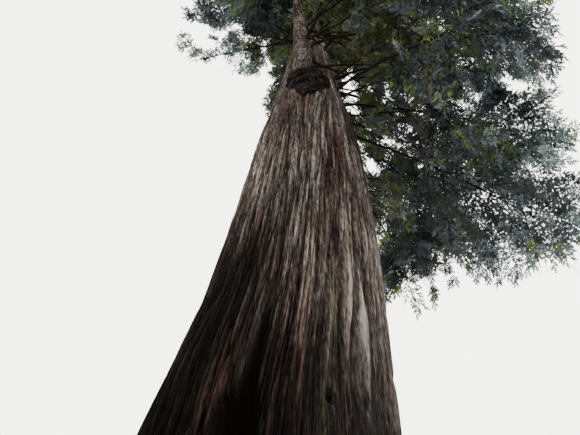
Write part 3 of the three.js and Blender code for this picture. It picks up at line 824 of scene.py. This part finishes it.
def growBoughs(name, routes, foot, tip, finish):
    # a tube that tapers along the bough, knotty where old twigs left it, with a collar where it comes out of
    # the trunk or the side stem: radius x (1 + collar e^(-way out / collar length))
    sizes = boughSizes
    routes = np.stack(routes)
    along = np.linspace(0, 1, routes.shape[1])
    number = np.arange(len(routes))[:, None]

    def wander(count, step, seed):  # smooth noise along each bough, which never repeats
        return wovenNoise(along * count + number * step, number + 0.0, neverAgain, seed)

    knots = wander(sizes["knots"], sizes["knotStep"], 61)
    seats = routes[:, 0]
    isOnTrunk = np.abs(seats[:, 1]) < 0.01  # the trunk's axis keeps to y = 0
    carrier = np.where(isOnTrunk, plainRadius(seats[:, 2]), sizes["onStem"] * stemShape["foot"])
    wayOut = np.linalg.norm(routes - seats[:, None], axis=2) - carrier[:, None]
    collar = sizes["collar"] * np.exp(-np.maximum(wayOut, 0) / sizes["collarLength"])
    radii = mix(foot, tip, along) * (sizes["waist"] + sizes["knot"] * knots) * (1 + collar)
    wiggle = np.stack([wander(sizes["bends"], sizes["bendStep"], 62 + axis) for axis in range(3)], -1)
    bent = routes + (wiggle - 0.5) * sizes["bend"] * np.sin(along * math.pi)[:, None]
    points, faces = skinRings(tubeRings(bent, radii, sizes["sides"]))
    least, onKnots, onCollar = sizes["shade"]
    shades = np.repeat(least + onKnots * knots + onCollar * collar, sizes["sides"], axis=1)
    shades = np.concatenate([shades, np.full((len(routes), 2), sizes["endShade"])], 1)
    addPiece(name, points, faces, finish, boughNodes, values={"relief": shades})


# Masses of foliage.

massShape = {
    "lengthShare": 0.95, "leastLength": 2.5, "halves": (0.62, 0.4, 0.36),
    "centre": 0.62, "shoulder": 0.4, "end": 0.74, "boughDroop": 0.14, "hangingDroop": 0.22,
    "clearance": 0.03, "stemMassLength": 2.6, "leaderLength": 1.6, "seatShare": 0.75, "gap": 0.0003,
    "stemStep": 6,  # a tube's ring at every sixth point of a mass's route
}
crownMasses = {"count": 20, "angle": 188, "height": 22.6, "topHeight": 37.3, "length": 4.2, "topLength": 1.9,
               "rise": 0.3, "droop": 0.12}


def massFrom(foot, direction, length, droop):
    # a stem that bows from its foot, and the space of its leaves: centre, three axes, half sizes on them
    heading = unit(direction)
    end = foot + heading * length * massShape["end"] - upward * droop * length
    forward = unit(end - foot)
    isSteep = abs(forward[2]) > 0.98  # too near to upright for upward to be a guide
    across = np.array([0.0, 1.0, 0.0]) if isSteep else unit(np.cross(upward, forward))
    return {
        "route": bowRoute(foot, foot + heading * length * massShape["shoulder"], end),
        "length": length, "axes": np.stack([forward, across, np.cross(forward, across)]),
        "centre": mix(foot, end, massShape["centre"]), "halves": length * np.array(massShape["halves"]),
    }


def placeMasses(boughRoutes, stemRoute):
    masses = []
    for i, route in enumerate(boughRoutes):
        point, heading = onRoute(route, 1.0)
        reach = np.linalg.norm((route[-1] - route[0])[:2])
        length = massShape["leastLength"] + massShape["lengthShare"] * reach
        isHanging = lowBoughs["count"] <= i < lowBoughs["count"] + hangingBoughs["count"]
        droop = massShape["hangingDroop"] if isHanging else massShape["boughDroop"]
        masses.append(massFrom(point[0] + heading[0] * massShape["gap"], heading[0], length, droop))
    point, heading = onRoute(stemRoute, 1.0)
    masses.append(massFrom(point[0], heading[0], massShape["stemMassLength"], 0))
    for i in range(crownMasses["count"]):
        rank = i / (crownMasses["count"] - 1)
        angle = math.radians(crownMasses["angle"] + goldenAngle * i)
        height = mix(crownMasses["height"], crownMasses["topHeight"], rank)
        heading = outward(angle, crownMasses["rise"])
        seat = trunkAxis(height) + heading * massShape["seatShare"] * trunkRadius(height, angle)
        length = mix(crownMasses["length"], crownMasses["topLength"], rank)
        masses.append(massFrom(seat, heading, length, crownMasses["droop"]))
    masses.append(massFrom(trunkAxis(trunkShape["height"]), upward, massShape["leaderLength"], 0))
    return masses


def depthInSpaces(points, masses):  # how far out points lie in each mass's space, from 0 to 1 at its edge
    parts = ("centre", "axes", "halves")
    centres, axes, halves = (np.stack([mass[part] for mass in masses]) for part in parts)
    shares = np.einsum("...mi,mai->...ma", points[..., None, :] - centres, axes) / halves
    return np.linalg.norm(shares, axis=-1)


def keepsToSpace(points, masses, own, reach=1):  # inside its own space, and nearest to that one's middle
    depths = depthInSpaces(points, masses)
    others = np.delete(depths, own, axis=-1)
    isNearest = (others > depths[..., own, None] + massShape["clearance"]).all(-1)
    return (depths[..., own] < reach) & isNearest


twigShape = {
    "spacing": 0.27, "first": 0.10, "span": 0.84, "angle": math.radians(54), "tilt": (-1.1, 0.7),
    "length": (0.12, 0.18), "fade": 1.15, "foot": 0.015, "tip": 0.008,
    "stemFoot": 0.028, "stemTip": 0.012, "shade": 0.4,
}
frondShape = {
    "leastLength": 0.72, "lengthShare": 0.22, "sizes": (0.8, 1.1),
    "tries": (1, 1, 0.85, 0.85, 0.7, 0.7, 0.55, 0.4),  # shares of that length, each with a new roll
    "roll": (-0.85, 0.85), "shoulder": 0.36, "width": 0.27, "far": 0.78, "farWidth": 0.6,
    "droop": 0.2, "foot": 0.008, "tip": 0.003, "ribEnd": 0.94, "reach": 0.94,
    "innerAngle": (0.1, 0.35), "innerTurn": (-0.9, 0.9), "stemTilt": (-1.1, 0.9), "trunkClearance": 0.06,
}


def massTwigs(mass, masses, own, seed):
    # twigs leave the stem left and right in turn, tilted up or down; a frond stands at each twig's tip and
    # half-way along it, and one on the stem between two twigs
    count = max(3, round(mass["length"] / twigShape["spacing"]))
    index = np.arange(count)
    side = leftRight(index)[:, None]
    along = twigShape["first"] + twigShape["span"] * (index + 0.5) / count
    foot, tangent = onRoute(mass["route"], along)
    between = np.minimum(along + 0.5 * twigShape["span"] / count, 1)
    stemFoot, stemTangent = onRoute(mass["route"], between)
    across, normal = mass["axes"][1:]

    def drawn(kind, span):  # a twig has eight numbers of its own
        return draws(seed, 8 * index + kind, *span)

    def sideHeading(tangents, sides, angle, tilt):
        return unit(turned(tangents, turned(across * sides, normal, tilt), angle))

    tilt = drawn(0, twigShape["tilt"])
    length = mass["length"] * drawn(1, twigShape["length"]) * (twigShape["fade"] - along)
    angle = np.full(count, twigShape["angle"])
    heading = sideHeading(tangent, side, angle, tilt)
    tip = foot + heading * length[:, None]
    fits = keepsToSpace(tip, masses, own)
    innerAngle, innerTurn = drawn(2, frondShape["innerAngle"]), drawn(3, frondShape["innerTurn"])
    inner = sideHeading(tangent, side, innerAngle, tilt + innerTurn)
    stemHeading = sideHeading(stemTangent, -side, angle, drawn(4, frondShape["stemTilt"]))
    end, endTangent = onRoute(mass["route"], 1.0)
    feet = np.concatenate([tip[fits], mix(foot, tip, 0.5)[fits], stemFoot, end])
    headings = np.concatenate([heading[fits], inner[fits], stemHeading, endTangent])
    return np.stack([foot, tip], 1)[fits], feet, headings


def frondCorners(feet, headings, across, length):  # both shoulders, two points further out and the tip
    shape = frondShape
    shoulder = feet + headings * (shape["shoulder"] * length)[..., None]
    half = across * (shape["width"] * length)[..., None]
    far = feet + headings * (shape["far"] * length)[..., None]
    tip = feet + headings * length[..., None]
    farHalf = shape["farWidth"] * half
    return np.stack([shoulder + half, shoulder - half, far + farHalf, far - farHalf, tip], -2)


def withinTree(points, margin):  # inside the solids' box grown by a share of each side
    low, high = np.array(cadBox)
    grown = margin * (high - low)
    return ((points > low - grown) & (points < high + grown)).all(-1)


def fromAxis(points):  # how far points lie from the trunk's axis, and at which height of it
    heights = np.clip(points[..., 2], 0, trunkShape["height"])
    return np.linalg.norm(points[..., :2] - trunkAxis(heights)[..., :2], axis=-1), heights


def clearOfTrunk(points):  # outside the trunk's plain radius by the clearance, or above its tip
    away, heights = fromAxis(points)
    isAbove = points[..., 2] > trunkShape["height"]
    return (away > plainRadius(heights) + frondShape["trunkClearance"]) | isAbove


def massFronds(mass, masses, own, seed, feet, headings):
    # each frond is rolled and shortened until its outline keeps to the mass's space, and else skipped
    number = np.arange(len(feet))
    across = unit(np.cross(mass["axes"][2], headings))
    normal = np.cross(headings, across)
    size = frondShape["leastLength"] + frondShape["lengthShare"] * mass["length"]
    size = size * draws(seed, 700 + number, *frondShape["sizes"])
    chosen = np.zeros(len(feet), bool)
    finalAcross, finalLength = np.zeros_like(feet), np.zeros(len(feet))
    for attempt, share in enumerate(frondShape["tries"]):
        rolled = turned(across, normal, draws(seed, 100 + 16 * number + attempt, *frondShape["roll"]))
        corners = frondCorners(feet, headings, rolled, size * share)
        fits = keepsToSpace(corners, masses, own, frondShape["reach"]).all(-1)
        fits = fits & clearOfTrunk(corners).all(-1) & withinTree(corners, 0).all(-1) & ~chosen
        finalAcross[fits], finalLength[fits] = rolled[fits], size[fits] * share
        chosen |= fits
    return feet[chosen], headings[chosen], finalAcross[chosen], finalLength[chosen]


def growFoliage(masses):
    twigs, fronds = [], []
    for own, mass in enumerate(masses):
        twigRoutes, feet, headings = massTwigs(mass, masses, own, own + 1)
        twigs.append(twigRoutes)
        fronds.append(massFronds(mass, masses, own, own + 1, feet, headings))
    stems = np.stack([mass["route"][::massShape["stemStep"]] for mass in masses])
    return stems, np.concatenate(twigs), [np.concatenate(part) for part in zip(*fronds)]


twigletShape = {
    "pairs": 6, "first": 0.06, "span": 0.88, "stagger": 0.25, "shift": (-0.15, 0.15),
    "angle": (0.75, 1.05), "closing": 0.45, "roll": 0.35, "hang": 0.12,
    "length": 0.36, "fade": 0.62, "sizes": (0.75, 1.15), "foot": 0.0035, "tip": 0.0018, "droop": 0.12,
    "past": 0.015,  # how far past the solids' box a tip may reach, as a share of its side
    "gapSize": (0.58, 0.58, 1.0), "gapShare": 0.49,  # the gaps between the clumps
    "leftGaps": (0.1, 0.6, -0.8), "rightGaps": (-0.14, 2.6, 4.2),  # how much more, from where to where across
    "highGaps": 0.22, "leastShare": 0.34,
}
crownFullness = {"height": (20.0, 23.0), "left": (0.6, -0.3), "slope": 4.3, "above": (24.5, 28.0)}
sprayShape = {
    "perTwiglet": 8, "first": 0.4, "last": 0.96, "length": (0.135, 0.21), "angle": (0.55, 1.2), "roll": 0.9,
    "fade": 0.2, "sag": 0.22, "past": 0.02, "highGrowth": 0.6, "highSkip": 4,
}


def fullness(points):
    # 1 where the crown is full, high up; low on the left it is open, below a plane that climbs to the back
    x, y, z = (points[..., axis] for axis in range(3))
    isOpen = fade(x, *crownFullness["left"])
    above = fade(z - crownFullness["slope"] * y, *crownFullness["above"])
    return fade(z, *crownFullness["height"]) * mix(1, above, isOpen)


def frondPoint(fronds, share):
    # along the frond's rib, which sinks by droop x length x share squared
    feet, headings, across, length = fronds
    ahead = headings[:, None] * (share * length[:, None])[..., None]
    sink = frondShape["droop"] * length[:, None] * share ** 2
    return feet[:, None] + ahead - sink[..., None] * upward


def growTwiglets(fronds):
    # twiglets leave the rib in pairs, long at the foot and short at the tip, in the frond's own plane; none
    # grow in a gap between the clumps, and a frond left with only a few of them goes too
    shape = twigletShape
    feet, headings, across, length = fronds
    pairs, count = shape["pairs"], len(feet)
    frondNumber = np.arange(count)[:, None]
    slot = np.arange(2 * pairs)[None]
    side = leftRight(slot)
    # a factor before the slot keeps one frond's chance numbers clear of the next one's
    shift = shape["stagger"] * side + draws(3, frondNumber * 37 + slot, *shape["shift"])
    share = shape["first"] + shape["span"] * (slot // 2 + 0.5 + shift) / pairs
    start = frondPoint(fronds, share)
    angle = draws(5, frondNumber * 41 + slot, *shape["angle"]) * (1 - shape["closing"] * share)
    normal = np.cross(headings, across)[:, None]
    lift = draws(7, frondNumber * 43 + slot, -shape["roll"], shape["roll"])
    sideways = turned(across[:, None] * side[..., None], normal, lift)
    heading = unit(turned(headings[:, None], sideways, angle) - upward * shape["hang"])
    size = length[:, None] * shape["length"] * (1 - shape["fade"] * share)
    size = size * draws(9, frondNumber * 47 + slot, *shape["sizes"])
    flat = unit(np.cross(normal + 0 * heading, heading))
    twiglets = [part.reshape(-1, *part.shape[2:]) for part in (start, heading, flat, size)]
    start, heading, _, size = twiglets
    middle = start + 0.5 * heading * size[:, None]
    gapShare = shape["gapShare"]
    for more, near, far in (shape["leftGaps"], shape["rightGaps"]):
        gapShare = gapShare + more * fade(middle[:, 0], near, far)
    gapShare = mix(gapShare, shape["highGaps"], fullness(middle))
    isLeafy = roomNoise(middle / shape["gapSize"], 1, 71) > gapShare
    isLeafy = isLeafy & withinTree(start + heading * size[:, None], shape["past"])
    isKept = isLeafy.reshape(count, -1).mean(1) > shape["leastShare"]
    isLeafy = isLeafy & np.repeat(isKept, 2 * pairs)
    return [part[isLeafy] for part in twiglets], [part[isKept] for part in fronds]


def growSprays(twiglets):
    # sprays stand along a twiglet left and right in turn, the last one straight on from its tip
    shape = sprayShape
    start, heading, flat, size = twiglets
    each = shape["perTwiglet"]
    number = np.arange(len(start))[:, None]
    slot = np.arange(each)[None]
    isLast = slot == each - 1
    share = np.where(isLast, shape["last"], (slot + shape["first"]) / (each - shape["first"]))
    sink = twigletShape["droop"] * size[:, None] * share ** 2
    foot = start[:, None] + heading[:, None] * (share * size[:, None])[..., None] - sink[..., None] * upward
    angle = np.where(isLast, 0.0, draws(11, number * 13 + slot, *shape["angle"]))
    roll = draws(13, number * 17 + slot, -shape["roll"], shape["roll"])
    normal = np.cross(heading, flat)[:, None]
    sideways = turned(flat[:, None] * leftRight(slot)[..., None], normal, roll)
    forward = unit(turned(heading[:, None], sideways, angle) - upward * shape["sag"])
    across = unit(np.cross(normal + 0 * forward, forward))
    length = draws(17, number * 19 + slot, *shape["length"]) * (1 - shape["fade"] * share)
    highness = fullness(foot)
    length = length * (1 + shape["highGrowth"] * highness)  # high up fewer and larger
    isKept = (highness < 0.5) | (slot % shape["highSkip"] != 1)
    isKept = isKept & withinTree(foot + forward * length[..., None], shape["past"])
    return [part[isKept] for part in (foot, forward, across, length)]


needleShape = {  # lengths in shares of the spray's own
    "pairs": 3, "reach": 0.28, "slant": 0.16, "width": 0.3, "middle": 0.6, "curl": 0.05, "ribEnd": 0.9,
    "swell": (0.9, 2.5), "tipWidth": 0.035, "tipCurl": 0.02,
}


def sprayTemplate():
    # a rib with needles in two flat ranks: a triangle each, longest in the middle, and one at the tip
    shape = needleShape
    start = np.arange(shape["pairs"]) / (shape["pairs"] + shape["ribEnd"])
    size = np.sin(np.linspace(*shape["swell"], shape["pairs"]))
    points = []
    for side in (1.0, -1.0):
        near = np.stack([start, 0 * start, 0 * start], -1)
        far = near + [shape["width"], 0, 0]
        along = start + shape["width"] * shape["middle"] + shape["slant"] * size
        tip = np.stack([along, side * shape["reach"] * size, -shape["curl"] * size], -1)
        order = (near, far, tip) if side > 0 else (far, near, tip)
        points.append(np.stack(order, 1).reshape(-1, 3))
    last, half = start[-1] + shape["width"], shape["tipWidth"]
    points.append(np.array([[last, -half, 0], [1.0, 0, -shape["tipCurl"]], [last, half, 0]]))
    points = np.concatenate(points)
    return points, np.arange(len(points)).reshape(-1, 3)


needleTints = [  # name, colour, colour lit from behind; how common near the trunk, further out, at the rim
    # a darker copy of the needles for painted shade, least common at the rim
    ["needles_deep", (0.018, 0.024, 0.024), (0.030, 0.042, 0.038), 0.27, 0.34, 0.14],
    ["needles_dusky", (0.040, 0.046, 0.058), (0.060, 0.072, 0.086), 0.14, 0.34, 0.26],
    # a pale blue copy for painted light: the glow of the backlit haze, most common at the rim
    ["needles_hazy", (0.094, 0.120, 0.132), (0.132, 0.170, 0.178), 0.00, 0.04, 0.44],
    ["needles_green", (0.032, 0.046, 0.024), (0.078, 0.115, 0.038), 0.33, 0.18, 0.11],
    # a lighter, yellower copy of the needles for painted light, most common near the trunk
    ["needles_fresh", (0.060, 0.078, 0.030), (0.188, 0.240, 0.060), 0.20, 0.06, 0.03],
    ["needles_faded", (0.056, 0.040, 0.030), (0.090, 0.064, 0.042), 0.06, 0.04, 0.02],
]
tintPatches = {"size": 0.8, "share": 0.55, "kin": 4, "chance": (0.1, 0.9), "middle": (1.3, 3.0),
               "right": (3.7, 5.5), "left": (-0.4, -1.6), "leftTop": (31, 27)}
mostTriangles = 190000


def chooseTints(foot):
    # a tint's weight changes from near the trunk to further out and to the rim; patches of noise, mixed with
    # chance, put sprays of a kind together
    patches = tintPatches
    near, middle, rim = (np.array([tint[column] for tint in needleTints]) for column in (3, 4, 5))
    weights = mix(near, middle, fade(fromAxis(foot)[0], *patches["middle"])[:, None])
    left = fade(foot[:, 0], *patches["left"]) * fade(foot[:, 2], *patches["leftTop"])
    right = fade(foot[:, 0], *patches["right"])
    weights = mix(weights, rim, np.maximum(right, left)[:, None])
    limits = np.cumsum(weights / weights.sum(1, keepdims=True), axis=1)
    chance = draws(23, np.arange(len(foot)) // patches["kin"], *patches["chance"])
    clump = mix(chance, roomNoise(foot, patches["size"], 91), patches["share"])
    rank = np.argsort(np.argsort(clump)) / len(clump)  # each spray's place in the order, from 0 to 1
    return (rank[:, None] > limits).sum(1)


def addSprays(sprays):
    # the template carried to each spray's foot and turned to its axes, in a piece or more for each tint
    foot, forward, across, length = sprays
    normal = np.cross(forward, across)
    template, faces = sprayTemplate()
    choice = chooseTints(foot)
    for number, (name, color, litColor, *_) in enumerate(needleTints):
        finish = makeNeedles(name, color, litColor)
        chosen = np.flatnonzero(choice == number)
        lots = max(1, math.ceil(len(chosen) / (mostTriangles // len(faces))))
        for lot, part in enumerate(np.array_split(chosen, lots)):
            frames = np.stack([forward[part], across[part], normal[part]], 1) * length[part, None, None]
            points = foot[part, None] + np.einsum("pa,sai->spi", template, frames)
            lotFaces = faces[None] + (np.arange(len(part)) * len(template))[:, None, None]
            label = name if lots == 1 else f"{name}_{lot + 1}"
            addPiece(label, points.reshape(-1, 3), lotFaces.reshape(-1, 3), finish,
                     foliageNodes, smooth=False)


def addTwigs(stems, twigs, fronds, twiglets, finish):
    # stems, twigs, ribs and twiglets as tapering tubes, the thinnest without end caps

    def tubes(routes, shape, sides, footName="foot", tipName="tip"):
        radii = np.linspace(shape[footName], shape[tipName], routes.shape[1]) + np.zeros((len(routes), 1))
        isCapped = sides > 4
        return skinRings(tubeRings(routes, radii, sides), isCapped, isCapped)

    ribShares = np.linspace(0, frondShape["ribEnd"], 4)[None] + np.zeros((len(fronds[0]), 1))
    start, heading, _, size = twiglets
    size = size[:, None, None]
    shares = np.linspace(0, 1, 2)[None, :, None]
    sink = twigletShape["droop"] * size * shares ** 2 * upward
    twigletRoutes = start[:, None] + heading[:, None] * size * shares - sink
    sets = {
        "mass_stems": tubes(stems, twigShape, 8, "stemFoot", "stemTip"),
        "twigs": tubes(twigs, twigShape, 6),
        "frond_ribs": tubes(frondPoint(fronds, ribShares), frondShape, 4),
        "twiglets": tubes(twigletRoutes, twigletShape, 3),
    }
    for name, (points, faces) in sets.items():
        values = {"relief": np.full(len(points), twigShape["shade"])}
        addPiece(name, points, faces, finish, foliageNodes, values=values)


# Camera, light and floor.

cameraSetting = {"place": (0.62, -5.2, 1.0), "climb": 60.68, "roll": -0.836,
                 "sensor": 36, "focalShare": 610 / 580, "far": 500}
lightSetting = {
    "sky": (1.0, 0.995, 0.94), "skyStrength": 3.2,
    "keyFrom": (0.9, -0.5, 0.9), "keyStrength": 3.0, "keySpread": 25, "keyColor": (1, 0.96, 0.9),
    "backFrom": (0.55, 0.9, 1.1), "backStrength": 3.0, "backSpread": 12, "backColor": (1, 0.98, 0.92),
    "floor": (0.62, 0.61, 0.58), "floorRoughness": 0.9, "floorSize": 60, "floorDrop": 0.002,
}


def axesMatrix(right, over, back, place):  # the matrix whose columns are three axes and a place
    rows = np.stack([right, over, back, place], 1).tolist()
    return Matrix([*rows, [0, 0, 0, 1]])


def placeCamera():
    climb, roll = math.radians(cameraSetting["climb"]), math.radians(cameraSetting["roll"])
    forward = np.array([0, math.cos(climb), math.sin(climb)])
    level, rise = np.array([1.0, 0, 0]), np.array([0, -math.sin(climb), math.cos(climb)])
    data = bpy.data.cameras.new("view_from_the_foot")
    data.sensor_width, data.clip_end = cameraSetting["sensor"], cameraSetting["far"]
    data.lens = cameraSetting["focalShare"] * cameraSetting["sensor"]
    camera = addObject("view_from_the_foot", data)
    right, over = turned(level, rise, roll), turned(rise, -level, roll)
    camera.matrix_world = axesMatrix(right, over, -forward, cameraSetting["place"])
    bpy.context.scene.camera = camera


def addSun(kind):
    parts = (lightSetting[kind + part] for part in ("From", "Strength", "Spread", "Color"))
    comesFrom, strength, spread, color = parts
    data = bpy.data.lights.new(f"{kind}_light", "SUN")
    data.energy, data.angle, data.color = strength, math.radians(spread), color
    away = unit(np.array(comesFrom))
    side = unit(np.cross(upward, away))
    lamp = addObject(f"{kind}_light", data)
    lamp.matrix_world = axesMatrix(side, np.cross(away, side), away, 20 * away)


def lightScene():
    world = bpy.data.worlds.new("pale_sky")
    world.use_nodes = True
    sky = world.node_tree.nodes["Background"]
    sky.inputs["Color"].default_value = (*lightSetting["sky"], 1)
    sky.inputs["Strength"].default_value = lightSetting["skyStrength"]
    bpy.context.scene.world = world
    addSun("key")
    addSun("back")


def layFloor():
    half, drop = lightSetting["floorSize"] / 2, lightSetting["floorDrop"]
    mesh = bpy.data.meshes.new("floor")
    corners = [(x * half, y * half, -drop) for x, y in ((-1, -1), (1, -1), (1, 1), (-1, 1))]
    mesh.from_pydata(corners, [], [(0, 1, 2, 3)])
    finish, _, shader = startFinish("pale_floor")
    shader.inputs["Base Color"].default_value = (*lightSetting["floor"], 1)
    shader.inputs["Roughness"].default_value = lightSetting["floorRoughness"]
    mesh.materials.append(finish)
    addObject("floor", mesh)


placeCamera()
lightScene()
layFloor()
bpy.context.scene.view_settings.look = "AgX - Medium High Contrast"
print("camera, light and floor are in place")

bark = makeBark("furrowed_bark", barkLook)
stemBark = makeBark("ringed_bark", {
    **barkLook, "streakScale": (6, 6, 3), "bumpDistance": 0.006,
    "redStops": [(0.0, (0.002, 0.002, 0.002)), (0.3, (0.014, 0.011, 0.010)), (0.55, (0.044, 0.037, 0.034)),
                 (0.8, (0.092, 0.077, 0.070)), (1.0, (0.150, 0.130, 0.116))],
})
twigBark = makeBark("twig_bark", {
    **barkLook, "fibreScale": (30, 30, 30), "bumpDistance": 0.003,
    "redStops": [(0.0, (0.003, 0.002, 0.002)), (0.55, (0.016, 0.012, 0.010)), (1.0, (0.090, 0.066, 0.052))],
    "greyStops": [(0.0, (0.004, 0.003, 0.003)), (0.55, (0.020, 0.017, 0.015)), (1.0, (0.105, 0.092, 0.082))],
})
growTrunk(bark)
growBurl(stemBark)
stemRoute = growSideStem(stemBark)
boughRoutes = placeBoughs(stemRoute)
growBoughs("bough_bark", boughRoutes, boughSizes["foot"], boughSizes["tip"], twigBark)
thinRoutes = {}
for place, group in thinBoughs.items():
    thinRoutes[place] = placeThinBoughs(group, stemRoute)
    thinned = [route[::3] for route in thinRoutes[place]]  # every third ring is enough for a thin bough
    foot = np.linspace(group["foot"], group["topFoot"], len(thinned))[:, None]
    growBoughs(f"{place}_bough_bark", thinned, foot, thinBoughShape["tip"], twigBark)
print("trunk, burl, side stem and boughs are grown")

masses = placeMasses(boughRoutes, stemRoute)
stems, twigs, fronds = growFoliage(masses)
for place, group in thinBoughs.items():
    fronds = [np.concatenate(pair) for pair in zip(fronds, thinBoughLeaves(group, thinRoutes[place]))]
twiglets, fronds = growTwiglets(fronds)
sprays = growSprays(twiglets)
print(f"{len(masses)} masses, {len(twigs)} twigs, {len(fronds[0])} fronds, {len(sprays[0])} sprays")
addTwigs(stems, twigs, fronds, twiglets, twigBark)
addSprays(sprays)
